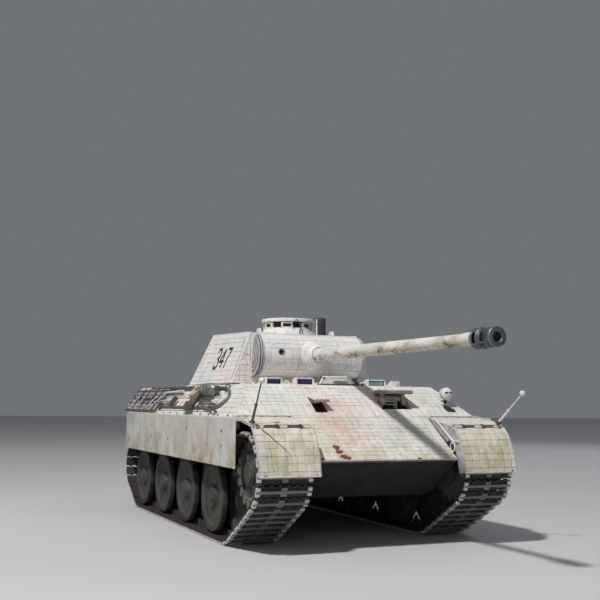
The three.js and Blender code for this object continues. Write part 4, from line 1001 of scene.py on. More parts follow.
def tools():
    """Poles, rails, bottle, box, sheath, hammer, hung links, straps and cable guides on the right side."""
    out = side_out(-1)
    b = Build(TOOLED, BLACK_STEEL, OLIVE, HIDE, BOTTLE, TRIM, SPARE_LINK, WORN_LIT_PAD)

    def spot(y, z, lift):
        return hull_side(-1, y, z, lift)

    def bar(ya, za, yb, zb, half, lift, thick, bevel=0.2):
        a, c = spot(ya, za, lift), spot(yb, zb, lift)
        along = (c - a).normalized()
        wide = out.cross(along).normalized()
        b.convex([p + wide * s * half + out * h for p in (a, c) for s in (-1, 1) for h in (0, thick)], bevel)

    # long pole with end caps and brackets, and a shorter pole under it
    x, _, z = spot(0, 113.4, 2.6)
    b.use(HIDE).rod((x, 27, z), (x, 190, z), 1.3, seg=16)
    b.use(TRIM).rod(spot(78, 110.6, 2.6), spot(128, 109.4, 2.6), 1.0)
    b.use(BLACK_STEEL).rod(spot(76, 108.8, 2.4), spot(130, 107.6, 2.4), 0.6)
    for y in (28, 115, 188):
        b.rod((x, y - 2, z), (x, y + 2, z), 1.75, seg=16)
        bar(y, 110.6, y, 114.6, 1.6, 0.4, 1.8)
    # mounting rails
    for za in (95.2, 106.2):
        b.use(TRIM)
        bar(-30, za, 246, za, 0.55, 0.45, 0.7)
    for y in (-30, 66, 108, 128, 168, 208, 240):
        b.use(TRIM)
        bar(y, 93.6, y, 108, 0.7, 0.5, 0.8)
        b.use(BLACK_STEEL).bolt(spot(y, 106.2, 1.2), out, 0.7, 0.6)
        b.bolt(spot(y, 95.2, 1.2), out, 0.7, 0.6)
    # grey bottle with its bands, neck and lever
    xe, _, ze = spot(0, 109.4, 5.2)
    b.use(BOTTLE).lathe((xe, -22, ze), (0, 1, 0), [(0, 0), (1.6, 0), (1.6, 2.2), (3.4, 3.2), (4.7, 5.4),
                                                   (5.0, 7.6), (5.0, 28), (4.4, 31), (2.4, 33), (0, 33.6)],
                        30)
    b.use(BLACK_STEEL)
    for y in (-13, -4, 5):
        b.lathe((xe, y, ze), (0, 1, 0), [(4.9, -0.2), (5.25, 0), (5.25, 1.1), (4.9, 1.3)], 30)
    b.rod((xe, -26, ze), (xe, -21, ze), 1.1)
    b.rod((xe - 2.8, -24.5, ze + 1), (xe + 1.8, -24.5, ze + 2.6), 0.6)
    # pale olive box behind the bottle, with its lid line and clasp
    b.use(OLIVE).convex([spot(y, zz, 0.6 + h) for y, zz in ((12, 105.4), (40, 104.2), (40, 112.4),
                                                            (12, 112.8)) for h in (0, 5.4)], 0.45, 2)
    b.use(HIDE).convex([spot(y, zz, 1.0 + h) for y in (11.7, 40.3) for zz in (109.6, 110.1)
                        for h in (0, 5.2)], 0.1)
    b.convex([spot(y, zz, 5.6 + h) for y in (24, 28) for zz in (108.2, 111.2) for h in (0, 0.9)], 0.2)
    # ribbed dark sheath that hangs under them
    sheath = curve([spot(*p) for p in ((12, 107.4, 5.6), (10.4, 103.4, 6.2), (11.4, 98.6, 5.8),
                                       (16, 95.2, 5.2), (24, 94.4, 4.6), (33, 96.6, 3.8), (39, 100.4, 3.0))],
                   10)

    def ribbed(t):
        rib = 0.18 if int(t * 60) % 3 == 0 else 0
        return 1.2 + 1.9 * math.sin(math.pi * min(t * 1.25 + 0.12, 1.0)) ** 0.6 + rib

    b.tube(sheath, ribbed, 14)
    # hammer
    b.use(OLIVE).rod(spot(80, 100.6, 3.6), spot(124, 101.4, 3.2), 1.1, seg=14)
    b.use(BLACK_STEEL).convex([spot(y, zz, 2.2 + h) for y in (76, 81) for zz in (97.0, 104.2)
                               for h in (0, 3.6)], 0.5, 2)
    # bolts along the foot of the side plate
    for y in range(-78, 250, 22):
        b.bolt(spot(y, 92.6, 0.4), out, 0.85, 0.7)
    # rods and a pin under the bottle
    b.use(TOOLED).rod(spot(-30, 101.4, 2.6), spot(12, 101.8, 2.6), 1.0)
    b.rod(spot(-12, 97.6, 4.6), spot(-46, 93.9, 2.2), 1.0, 0.8)
    b.use(TRIM).rod(spot(-32, 101.4, 2.6), spot(-27, 101.3, 2.6), 1.5, seg=14)
    b.ball(spot(-46.5, 93.9, 2.2), 1.5, 14)
    # hung spare links over the rear half, each a plate with a cleat, two horns and pins
    for row, base in enumerate((95.4, 106.8)):
        for k in range(17):
            y = 128 + k * 7.0
            lean = 0.5 if row else -0.4
            b.use(SPARE_LINK)
            bar(y, base - 3.2, y + lean, base + 6.4, 2.6, 1.4, 1.6, 0.25)
            b.use(WORN_LIT_PAD)
            bar(y - 1.6, base - 2.4, y + 1.4 + lean, base + 5.6, 0.5, 3.0, 0.9, 0.15)
            b.use(SPARE_LINK)
            for dz in (-0.6, 3.8):
                b.convex([spot(y + s, base + dz + w, 2.9 + h) for s in (-1.4, 1.4) for w in (-0.6, 0.6)
                          for h in (0, 1.3)] + [spot(y, base + dz, 5.4)], 0.15)
            b.use(TOOLED).rod(spot(y + 3.4, base - 3.4, 2.2), spot(y + 3.4 + lean, base + 6.6, 2.2), 0.55,
                              seg=8)
    b.use(BLACK_STEEL)
    for y in (132, 156, 180, 204, 228):
        bar(y, 92.6, y + 9, 115, 0.8, 4.3, 0.6)
    b.use(TRIM)
    for y in (128, 146, 190, 214):
        bar(y + 9, 93.2, y, 104.6, 0.55, 4.2, 0.6)
    # lifting hook and cable guides at the front
    b.use(BLACK_STEEL).tube([spot(y, z, l) for y, z, l in ((-50, 94.2, 1), (-50, 94.4, 4), (-47.5, 95.2, 5),
                                                           (-45, 94.8, 4.2), (-45, 93.6, 3))], 0.8, 8)
    for y, zz in ((-34, 112.4), (-30, 97.6), (0, 97.2), (4, 112.8)):
        b.convex([spot(y + s, zz + w, 0.4 + h) for s in (-1, 1) for w in (-2.6, 2.6) for h in (0, 0.8)], 0.2)
        b.tube([spot(y, zz - 2.2, 0.8), spot(y, zz - 1.9, 3.6), spot(y, zz + 1.9, 3.6),
                spot(y, zz + 2.2, 0.8)], 0.5, 8)
    b.piece("side_tools", "hull", replaces="tool_rack_right", slot="dark_steel")


def left_side():
    """The left side carries two bars, a wooden jack block and spare links."""
    b = Build(TOOLED, BLACK_STEEL, WOOD, SHADED_LINK, SHADED_PAD)

    def spot(y, z, lift):
        return hull_side(1, y, z, lift)

    for z in (97, 107):
        b.use(BLACK_STEEL).rod(spot(-20, z, 2.2), spot(96, z, 2.2), 1.0)
        for y in (-10, 40, 86):
            b.convex([spot(y + s, z + w, 0.4 + h) for s in (-1.2, 1.2) for w in (-2, 2) for h in (0, 3.2)],
                     0.25)
    b.use(WOOD).convex([spot(y, z, 0.5 + h) for y in (-6, 14) for z in (99.2, 105) for h in (0, 5)], 0.4)
    for base in (95.4, 106.8):
        for k in range(15):
            y = 122 + k * 7.4
            b.use(SHADED_LINK).convex([spot(y + s, base + w, 1.2 + h) for s in (-2.9, 2.9) for w in (-3.4, 6.6)
                                for h in (0, 1.6)], 0.25)
            b.use(SHADED_PAD).convex([spot(y + s, base + w, 2.7 + h) for s in (-0.7, 0.7) for w in (-3.0, 6.2)
                               for h in (0, 0.9)], 0.2)
            b.use(SHADED_LINK)
            for w in (-0.6, 3.8):
                b.convex([spot(y + s, base + w + t, 2.7 + h) for s in (-1.3, 1.3) for t in (-0.5, 0.5)
                          for h in (0, 1.4)], 0.2)
    b.piece("side_links_left", "hull")


# how far out the skirt plates stand
SKIRT_X = 105.5


def skirts():
    low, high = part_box("side_skirt_right")
    y0, y1, z0, z1 = low.y / MM, high.y / MM, low.z / MM, high.z / MM
    seams = [y0, -52, 3, 58, 113, 168, y1]
    for name, side in SIDES:
        rng = random.Random(40 + side)
        b = Build(SKIRT, BLACK_STEEL)
        base = SKIRT_X
        for k, (ya, yb) in enumerate(zip(seams, seams[1:])):
            cols, rows_n = 22, 14
            grid = []
            tilt = rng.uniform(-0.25, 0.25)
            for face in (0, 1):
                for j in range(rows_n + 1):
                    for i in range(cols + 1):
                        s, t = i / cols, j / rows_n
                        near, far = (0.35 if edge < 30 else 0.12 for edge in (ya, yb))
                        y = ya + near + (yb - ya - near - far) * s
                        z = z0 + (z1 - z0) * t
                        lean = tilt * (s - 0.5) * (1 - t)
                        bend = 0.32 * noise.noise(Vector((y * 0.03, z * 0.05, side * 7))) + lean
                        wave = 0.30 * max(0.0, 0.25 - t) * math.sin(y * 0.21 + k)
                        x = base + 0.35 + bend + wave + (0.75 if face else 0.0)
                        grid.append((side * min(max(x, base), base + 1.15), y, z))
            per = (cols + 1) * (rows_n + 1)
            faces = []
            for j in range(rows_n):
                for i in range(cols):
                    a = j * (cols + 1) + i
                    quad = [a, a + 1, a + cols + 2, a + cols + 1]
                    faces += [quad, [per + q for q in quad[::-1]]]
            rim = list(range(cols + 1))
            rim += [(j + 1) * (cols + 1) + cols for j in range(rows_n)]
            rim += [rows_n * (cols + 1) + i for i in range(cols - 1, -1, -1)]
            rim += [j * (cols + 1) for j in range(rows_n - 1, 0, -1)]
            for a, c in zip(rim, rim[1:] + rim[:1]):
                faces.append([a, c, per + c, per + a])
            b.use(SKIRT).add(grid, faces)
            b.use(BLACK_STEEL)
            if k and ya < 30:
                b.block((side * (base + 0.3), side * (base + 0.95)), (ya - 0.42, ya + 0.42),
                        (z0 + 0.6, z1 - 0.6), 0.1)
            for dz in (82, 71):
                if k:
                    b.rivet((side * (base + 0.75), ya, dz), (side, 0, 0), 1.6, 0.42)
        for dz in (82, 71):
            b.rivet((side * (base + 0.75), -83, dz), (side, 0, 0), 1.6, 0.42)
        for y in (-108, -80, -24, 30, 85, 140, 196):
            b.convex([(side * x, y + s, z) for x in (102, 105.3) for s in (-1.6, 1.6) for z in (84, 90)], 0.3)
        b.piece(f"skirt_plates_{name}", "hull", replaces=f"side_skirt_{name}", slot="skirt_sheet")


# ---- running gear -------------------------------------------------------------------------------

TRACK_X, TRACK_WIDTH, LINK_COUNT = 81.5, 41.2, 87
FIRST_WHEEL_Y, WHEEL_PITCH, WHEEL_Z, WHEEL_RUN = -72.0, 35.0, 30.9, 27.2
SPROCKET_Y, SPROCKET_Z, SPROCKET_RUN = -116.5, 54.0, 25.2
IDLER_Y, IDLER_Z, IDLER_RUN = 206.0, 40.0, 19.2


def track_line(step=0.25):
    """The inner face of the track as closely spaced points, going round as the CAD has it."""

    def tangent(ay, az, ar, by, bz, br):
        return math.atan2(bz - az, by - ay) + math.acos((ar - br) / math.hypot(by - ay, bz - az))

    def arc(y, z, r, a0, a1):
        count = max(2, int(abs(a1 - a0) * r / step))
        return [(y + r * math.cos(a0 + (a1 - a0) * i / count), z + r * math.sin(a0 + (a1 - a0) * i / count))
                for i in range(count + 1)]

    last_y = FIRST_WHEEL_Y + 7 * WHEEL_PITCH
    into_first = tangent(FIRST_WHEEL_Y, WHEEL_Z, WHEEL_RUN, SPROCKET_Y, SPROCKET_Z, SPROCKET_RUN)
    into_rear = tangent(IDLER_Y, IDLER_Z, IDLER_RUN, last_y, WHEEL_Z, WHEEL_RUN)
    if into_first > 0:
        into_first -= math.tau
    rest_y, rest_z = FIRST_WHEEL_Y + 2 * WHEEL_PITCH - 6, WHEEL_Z + WHEEL_RUN + 0.4
    points = [(last_y, WHEEL_Z - WHEEL_RUN), (FIRST_WHEEL_Y, WHEEL_Z - WHEEL_RUN)]
    points += arc(FIRST_WHEEL_Y, WHEEL_Z, WHEEL_RUN, -math.pi / 2, into_first)
    leave_angle = math.pi * 0.42 - math.tau
    points += arc(SPROCKET_Y, SPROCKET_Z, SPROCKET_RUN, into_first, leave_angle)
    p0 = points[-1]
    p1, p2, p3 = (p0[0] + 22, p0[1] - 5.6), (rest_y - 34, rest_z), (rest_y, rest_z)
    for i in range(1, 201):
        t = i / 200
        w = ((1 - t) ** 3, 3 * t * (1 - t) ** 2, 3 * t * t * (1 - t), t ** 3)
        points.append(tuple(sum(k * p[n] for k, p in zip(w, (p0, p1, p2, p3))) for n in (0, 1)))
    points.append((IDLER_Y, IDLER_Z + IDLER_RUN))
    if into_rear > math.pi / 2:
        into_rear -= math.tau
    points += arc(IDLER_Y, IDLER_Z, IDLER_RUN, math.pi / 2, into_rear)
    end = -math.pi / 2
    while end > into_rear:
        end -= math.tau
    points += arc(last_y, WHEEL_Z, WHEEL_RUN, into_rear, end)
    return points


def link_frames():
    """For each link its middle on the inner face, the direction of travel and the outward direction."""
    line = [Vector((0, y, z)) for y, z in track_line()]
    run = [0.0]
    for a, b in zip(line, line[1:]):
        run.append(run[-1] + (b - a).length)
    total = run[-1]
    at, found = 0, []

    def point(d):
        nonlocal at
        d = d % total
        while run[at] > d:
            at -= 1
        while run[at + 1] < d:
            at += 1
        return line[at].lerp(line[at + 1], (d - run[at]) / max(run[at + 1] - run[at], 1e-9))

    pitch = total / LINK_COUNT
    for k in range(LINK_COUNT):
        a = point(k * pitch + 0.3)
        b = point((k + 1) * pitch - 0.3)
        along = (b - a).normalized()
        out = Vector((0, -along.z, along.y))
        found.append(((a + b) / 2, along, out))
    return found, pitch


def link_template(pitch):
    """One cast link: body, cleats, recesses, pin bosses and two guide horns.

    x is across, y along, z outwards.
    """
    b = Build(SHADED_LINK, SHADED_PAD, WORN_LIT_PAD)
    half, w = pitch / 2, TRACK_WIDTH / 2
    b.use(SHADED_LINK)
    b.block((-w, w), (-half + 1.2, half - 1.2), (0.15, 1.7), 0.2)
    for k in range(-6, 7):
        y = half - 0.75 if k % 2 else -half + 0.75
        b.rod((k * 3.15 - 1.35, y, 1.1), (k * 3.15 + 1.35, y, 1.1), 0.95, seg=8)
    b.rod((-w + 0.2, -half + 0.75, 1.1), (w - 0.2, -half + 0.75, 1.1), 0.5, seg=6)
    for s in (-1, 1):
        b.convex([(s * x, y, z) for x, y, z in ((7.4, -2.4, 0.3), (10.6, -2.4, 0.3), (7.4, 2.4, 0.3),
                                                (10.6, 2.4, 0.3), (8.2, -0.7, -4.9), (10.0, -0.7, -4.9),
                                                (8.2, 0.7, -4.9), (10.0, 0.7, -4.9))], 0.25)
        b.block((s * 12.4, s * 14.2), (-half + 1.4, half - 1.4), (1.5, 2.5), 0.2)
        b.block((s * 4.2, s * 5.4), (-half + 1.4, half - 1.4), (1.5, 2.5), 0.2)
    b.use(SHADED_PAD)
    b.block((-w + 0.3, w - 0.3), (-1.15, 1.15), (1.5, 3.68), 0.35)
    # the bright ends of each link: wear and a painted highlight
    b.use(WORN_LIT_PAD)
    for s in (-1, 1):
        b.block((s * (w - 3.4), s * (w - 0.2)), (-half + 1.4, half - 1.4), (1.5, 3.5), 0.3)
    b.use(SHADED_PAD)
    b.block((-2.4, 2.4), (-half + 1.2, half - 1.2), (1.5, 3.3), 0.3)
    return b


def tracks():
    frames, pitch = link_frames()
    template = link_template(pitch)
    for name, side in SIDES:
        b = Build(SHADED_LINK, SHADED_PAD, WORN_LIT_PAD)
        for k, (at, along, out) in enumerate(frames):
            x = Vector((1, 0, 0))
            base = len(b.verts)
            sway = 0.12 * math.sin(k * 1.7 + side)
            for px, py, pz in template.verts:
                b.verts.append(tuple(Vector((side * TRACK_X + sway, 0, 0)) + at + x * px + along * py
                                     + out * pz))
            b.faces += [[base + i for i in face] for face in template.faces]
            b.slots += template.slots
        b.piece(f"track_links_{name}", "hull", replaces=f"track_{name}", slot="track_metal")


def sprockets():
    for name, side in SIDES:
        at = Vector((side * TRACK_X, SPROCKET_Y, SPROCKET_Z))
        b = Build(WHEEL_GRIME_SHADE, SHADED_PAD, BLACK_STEEL)
        for h in (-15, 13):
            outline = []
            for k in range(17):
                for step, r in ((-0.40, 21.2), (-0.27, 22.6), (-0.13, 24.1), (0, 24.4), (0.13, 24.1),
                                (0.27, 22.6), (0.40, 21.2)):
                    a = math.tau * (k + step) / 17
                    outline.append((r * math.cos(a), r * math.sin(a)))
            inner = 16.5
            ring = []
            n = len(outline)
            for x in (h, h + 2.4):
                for u, v in outline:
                    ring.append(at + Vector((side * x, u, v)))
                for u, v in outline:
                    f = inner / math.hypot(u, v)
                    ring.append(at + Vector((side * x, u * f, v * f)))
            faces = []
            for i in range(n):
                j = (i + 1) % n
                faces += [[i, j, 2 * n + j, 2 * n + i], [n + j, n + i, 3 * n + i, 3 * n + j],
                          [i, n + i, n + j, j], [2 * n + i, 2 * n + j, 3 * n + j, 3 * n + i]]
            b.use(SHADED_PAD if h > 0 else WHEEL_GRIME_SHADE).add(ring, faces)
        b.use(WHEEL_GRIME_SHADE)
        b.lathe(at, (side, 0, 0), [(0, 17.8), (4, 17.7), (7.2, 17.0), (8, 15.8), (9.4, 15.6), (9.8, 14.2),
                                   (14.6, 13.6), (17.5, 13.2), (17.5, 12.4), (15, 12), (13.4, 9), (13.2, 0),
                                   (14, -9), (15.6, -12.6), (17.5, -13), (17.5, -15), (9, -16.5),
                                   (2.6, -16.5), (2.6, -26), (0, -26)], 48)
        b.use(BLACK_STEEL)
        for k in range(17):
            a = math.tau * (k + 0.5) / 17
            b.bolt(at + Vector((side * 15.3, 19.2 * math.cos(a), 19.2 * math.sin(a))), (side, 0, 0), 0.85,
                   0.8)
        for k in range(8):
            a = math.tau * k / 8
            b.bolt(at + Vector((side * 16.2, 6.3 * math.cos(a), 6.3 * math.sin(a))), (side, 0, 0), 0.7, 1.0)
            b.use(WHEEL_GRIME_SHADE)
            c, s = math.cos(a + 0.2), math.sin(a + 0.2)
            b.convex([at + Vector((side * x, c * r - s * t, s * r + c * t))
                      for x, r in ((13, 10), (15, 10), (13, 16.4), (13.9, 16.4)) for t in (-0.6, 0.6)], 0.15)
            b.use(BLACK_STEEL)
        b.piece(f"sprocket_wheel_{name}", f"sprocket_{name}", replaces=f"sprocket_{name}",
                slot="running_gear_paint")


def idlers():
    for name, side in SIDES:
        at = Vector((side * TRACK_X, IDLER_Y, IDLER_Z))
        b = Build(WHEEL_GRIME_SHADE, BLACK_STEEL)
        b.lathe(at, (side, 0, 0), [(0, 12), (4, 12), (5.8, 11.4), (6.6, 8.4), (8, 6.2), (14.6, 4.9),
                                   (15.4, 6.8), (18.3, 6.9), (18.4, 3.4), (17, 3), (9, 2), (8, 0), (9, -2),
                                   (17, -3), (18.4, -3.4), (18.3, -6.9), (15.4, -6.8), (8, -6), (3.2, -7),
                                   (2.6, -7)], 44)
        for k in range(6):
            a = math.tau * k / 6
            c, s = math.cos(a), math.sin(a)
            b.use(WHEEL_GRIME_SHADE).convex([at + Vector((side * x, c * r - s * t, s * r + c * t)) for x, r in
                                 ((5, 6.5), (8.6, 6.5), (4.6, 15.6), (6.4, 15.6)) for t in (-0.8, 0.8)], 0.2)
            b.use(BLACK_STEEL).bolt(at + Vector((side * 11.2, 3.9 * c, 3.9 * s)), (side, 0, 0), 0.6, 0.9)
        b.piece(f"idler_wheel_{name}", f"idler_{name}", replaces=f"idler_{name}", slot="running_gear_paint")


def road_wheels():
    for name, side in SIDES:
        for k in range(8):
            wide = k % 2 == 1
            outer, inner, hub, blind = (16.3, 11.3, 6, 8) if wide else (7, 2, 12, 4)
            at = Vector((side * TRACK_X, FIRST_WHEEL_Y + k * WHEEL_PITCH, WHEEL_Z))
            b = Build(WHEEL_GRIME_SHADE, RUBBER, BLACK_STEEL)
            b.lathe(at, (side, 0, 0), [(0, outer + 1), (3.4, outer + 0.9), (4.2, outer + 0.2),
                                       (6.8, outer - 0.2), (7.6, outer - 1.4), (9.4, outer - 2.6),
                                       (15, outer - 2.5), (19.4, outer - 1.7), (20.2, outer - 0.6),
                                       (22.4, outer - 0.5), (22.7, outer - 1.2), (22.7, inner + 0.8),
                                       (20, inner + 0.3), (hub + 0.6, inner), (hub, inner), (hub, -inner),
                                       (hub + 0.6, -inner), (20, -inner - 0.3), (22.7, -inner - 0.8),
                                       (22.7, -outer + 1.2), (20, -outer + 0.8), (8, -outer + 1.4),
                                       (2.6, -outer), (2.5, -outer), (2.5, blind), (0, blind)], 40)
            b.use(RUBBER)
            for s in (1, -1):
                b.lathe(at, (side * s, 0, 0), [(22.6, inner + 0.6), (24.6, inner + 0.1), (26.0, inner + 0.3),
                                               (26.5, inner + 1.0), (26.5, outer - 1.0), (26.0, outer - 0.3),
                                               (24.6, outer - 0.1), (22.6, outer - 0.6)], 48)
            b.use(BLACK_STEEL)
            for i in range(16):
                a = math.tau * i / 16
                b.bolt(at + Vector((side * (outer - 0.6), 21.3 * math.cos(a), 21.3 * math.sin(a))),
                       (side, 0, 0), 0.62, 0.5)
            for i in range(6):
                a = math.tau * i / 6
                b.bolt(at + Vector((side * (outer + 0.1), 5.5 * math.cos(a), 5.5 * math.sin(a))),
                       (side, 0, 0), 0.6, 0.6)
            b.piece(f"wheel_{name}_{k + 1}", f"road_wheel_{name}_{k + 1}",
                    replaces=f"road_wheel_{name}_{k + 1}", slot="running_gear_paint")


# ---- engine deck and rear -----------------------------------------------------------------------


def deck():
    b = Build(TRIM, BLACK_STEEL, PAINTED_SHADE)
    top = ROOF_Z + 1.8
    for s in (-1, 1):
        b.use(TRIM).lathe((s * 30, 196, top), (0, 0, 1), [(18.6, -0.1), (18.6, 1.0), (17.8, 1.5), (16.4, 1.5),
                                                          (16.2, 1.3)], 48)
        # painted shade under each fan's guard
        b.use(PAINTED_SHADE).lathe((s * 30, 196, top), (0, 0, 1), [(16.4, 1.22), (0, 1.22)], 32)
        b.use(TRIM)
        for k in range(12):
            a = math.tau * k / 12
            b.tube([(s * 30 + r * math.cos(a), 196 + r * math.sin(a), top + 1.45) for r in (3.2, 10, 16.6)],
                   0.42, 6)
        for r in (6.5, 9.8, 13.1):
            b.tube([(s * 30 + r * math.cos(a), 196 + r * math.sin(a), top + 1.5) for a in
                    [math.tau * i / 40 for i in range(40)]], 0.36, 6, closed=True)
        b.lathe((s * 30, 196, top + 1.2), (0, 0, 1), [(3.6, 0), (3.6, 0.7), (2.8, 1.0), (0, 1.05)], 20)
        for k in range(8):
            a = math.tau * (k + 0.5) / 8
            b.bolt((s * 30 + 17.4 * math.cos(a), 196 + 17.4 * math.sin(a), top + 1.3), (0, 0, 1), 0.55, 0.4)
        for y in (160, 232):
            x0, x1 = s * 32 - 17, s * 32 + 17
            # painted shade under the grille's slats
            b.use(PAINTED_SHADE).block((x0 + 1, x1 - 1), (y - 7, y + 7), (top - 0.1, top + 0.42), 0.1)
            b.use(TRIM)
            for yy in (y - 7.6, y + 7.6):
                b.block((x0, x1), (yy - 0.5, yy + 0.5), (top, top + 0.4), 0.15)
            for xx in (x0 + 0.5, x1 - 0.5):
                b.block((xx - 0.5, xx + 0.5), (y - 7.6, y + 7.6), (top, top + 0.4), 0.15)
            count = 17
            for i in range(count):
                xx = x0 + 2 + (x1 - x0 - 4) * i / (count - 1)
                b.block((xx - 0.45, xx + 0.45), (y - 7.2, y + 7.2), (top + 0.1, top + 0.46), 0.12)
    b.use(TRIM)
    for y0, y1 in ((153, 196), (197.5, 239)):
        b.block((-8, 8), (y0, y1), (top - 0.1, top + 0.46), 0.2)
        for y in (y0 + 3, y1 - 3):
            for x in (-6.4, 6.4):
                b.bolt((x, y, top + 0.3), (0, 0, 1), 0.6, 0.15)
    for s in (-1, 1):
        for y in range(148, 250, 12):
            b.bolt((s * 55, y, top), (0, 0, 1), 0.7, 0.3)
        b.tube([(s * 4, 222, top + 0.3), (s * 4, 222, top + 2), (s * 4, 230, top + 2),
                (s * 4, 230, top + 0.3)], 0.45, 8)
        b.lathe((s * 46, 177, top), (0, 0, 1), [(3.4, 0), (3.4, 0.3), (2.6, 0.45), (0, 0.46)], 20)
    b.use(BLACK_STEEL)
    b.lathe((0, 246, top), (0, 0, 1), [(2.2, -0.2), (2.2, 3.4), (3.0, 3.8), (3.0, 4.6), (1.4, 5.2), (0, 5.2)],
            18)
    b.piece("deck_details", "hull", slot="whitewash_plastic")


def rear():
    cos_r, sin_r = math.cos(math.radians(30)), math.sin(math.radians(30))
    place = plane((0, REAR_TOP_Y, ROOF_Z), (-1, 0, 0), (0, -sin_r, -cos_r))
    behind_bins = (((-73, -26), (3, 49)), ((26, 73), (3, 49)))
    half = ROOF_HALF
    coat("rear_coat", "hull", WHITE, place, (0.3, 27.8), lambda v: -half - 0.79 * v * cos_r + 0.4,
         lambda v: half + 0.79 * v * cos_r - 0.4, behind_bins, seed=31, thick=0.3)
    b = Build(WHITE, TRIM, BLACK_STEEL, RUST, HULL_SHADE)
    for s in (-1, 1):
        low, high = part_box("stowage_bin_left" if s > 0 else "stowage_bin_right")
        x0, x1 = low.x / MM, high.x / MM
        yb, z0, z1 = high.y / MM, low.z / MM, high.z / MM
        b.use(TRIM)
        for z in (z0 + 5, (z0 + z1) / 2, z1 - 8):
            b.block((x0 + 1, x1 - 1), (yb - 1.6, yb - 0.05), (z - 0.7, z + 0.7), 0.3)
        for x in (x0 + 3, x1 - 3):
            b.block((x - 0.7, x + 0.7), (yb - 1.4, yb - 0.05), (z0 + 2, z1 - 4), 0.3)
        b.block((x0 - 0.6, x1 + 0.6), (yb - 12, yb - 0.4), (z1 - 0.1, z1 + 0.9), 0.35)
        b.use(BLACK_STEEL)
        for x in (x0 + 12, x1 - 12):
            b.block((x - 1.6, x + 1.6), (yb - 1.2, yb - 0.02), (z1 - 9, z1 - 2), 0.25)
            b.rod((x - 2.2, yb - 1.0, z1 - 2.4), (x + 2.2, yb - 1.0, z1 - 2.4), 0.8)
        for y, z in ((rear_y(66) + 1.4, 66), (rear_y(46) + 1.4, 46)):
            b.bolt((s * 48, y, z), (0, cos_r, -sin_r), 2.4, 2.2, 12)
            b.bolt((s * 30, y, z), (0, cos_r, -sin_r), 1.6, 1.6, 6)
    b.use(HULL_SHADE)
    yh = rear_y(52)
    b.lathe((0, yh, 52), (0, cos_r, -sin_r), [(13, -0.4), (13, 1.4), (11.8, 2.2), (3, 2.4), (0, 2.4)], 36)
    b.use(BLACK_STEEL)
    for k in range(12):
        a = math.tau * k / 12
        u, w = 11.6 * math.cos(a), 11.6 * math.sin(a)
        b.bolt((u, yh + w * sin_r + 1.6 * cos_r, 52 + w * cos_r - 1.6 * sin_r), (0, cos_r, -sin_r), 0.9, 1.2)
    b.use(RUST)
    for x in (-11, 11):
        b.lathe((x, 249, 76), (0, 0.86, 0.5), [(3.3, -4), (4.8, -2), (4.8, 3), (3.4, 5)], 24)
        for h in (96, 116):
            b.lathe((x, 264.6, h), (0, 0.02, 1), [(3.2, 0), (3.9, 0.2), (3.9, 1.8), (3.2, 2)], 24)
        b.lathe((x, 265, 118.2), (0, 0.05, 1), [(3.35, 0), (3.6, 3), (3.7, 5.6), (2.7, 5.6), (2.6, 2),
                                                (0, 1.8)], 24)
    b.piece("rear_fittings", "hull", slot="whitewash_plastic")


# ---- turret -------------------------------------------------------------------------------------

TRUNNION_Y, TRUNNION_Z, MANTLET_R, MANTLET_HALF = 8.3, 142.4, 17.9, 49.25
FRONT_LOW = (65.6, 12.5, 118.6)
FRONT_TOP = (49.9, 10.6, 161.75)
REAR_LOW = (63.3, 139.1, 118.6)
REAR_TOP = (45.7, 121.7, 165.9)
REAR_TILT = math.atan2(139.1 - 121.7, 165.9 - 118.6)
HATCH_AT = (0.0, 130.6, 141.7)


def flip(p, side):
    return (p[0] * side, p[1], p[2])


def turret_side(side):
    """place() and edges of the turret's sloping side, u running left to right as seen from outside."""
    ends = ((FRONT_TOP, FRONT_LOW), (REAR_TOP, REAR_LOW))
    first, second = ends if side > 0 else ends[::-1]
    return quad_plate(flip(first[0], side), flip(second[0], side), flip(second[1], side),
                      flip(first[1], side))


def turret_coats():
    for name, side in SIDES:
        place, length, left, right = turret_side(side)
        coat(f"turret_coat_{name}", "turret", TURRET, place, (0.5, length - 0.4),
             lambda v, f=left: f(v) + 0.5, lambda v, f=right: f(v) - 0.5, seed=51 + side, thick=0.5)
    place, length, left, right = quad_plate(flip(REAR_TOP, 1), flip(REAR_TOP, -1), flip(REAR_LOW, -1),
                                            flip(REAR_LOW, 1))
    middle = (left(0) + right(0)) / 2
    hatch_v = (165.9 - HATCH_AT[2]) / math.cos(REAR_TILT)
    coat("turret_coat_rear", "turret", TURRET, place, (0.5, length - 0.4), lambda v: left(v) + 0.5,
         lambda v: right(v) - 0.5, (((middle - 19, middle + 16), (hatch_v - 16, hatch_v + 16)),), seed=55,
         thick=0.35)
    for name, side in SIDES:
        a, b = flip(FRONT_TOP, side), (side * 49.6, 10.6, 161.75)
        outer = (side * 65.2, 12.5, 119)
        inner = (side * 50.2, 12.5, 119)
        place, length, left, right = quad_plate(*((b, a, outer, inner) if side > 0 else (a, b, inner, outer)))
        coat(f"turret_coat_front_{name}", "turret", TURRET, place, (1, length - 0.4),
             lambda v, f=left: f(v) + 0.2, lambda v, f=right: f(v) - 0.3, seed=57 + side, thick=0.3)


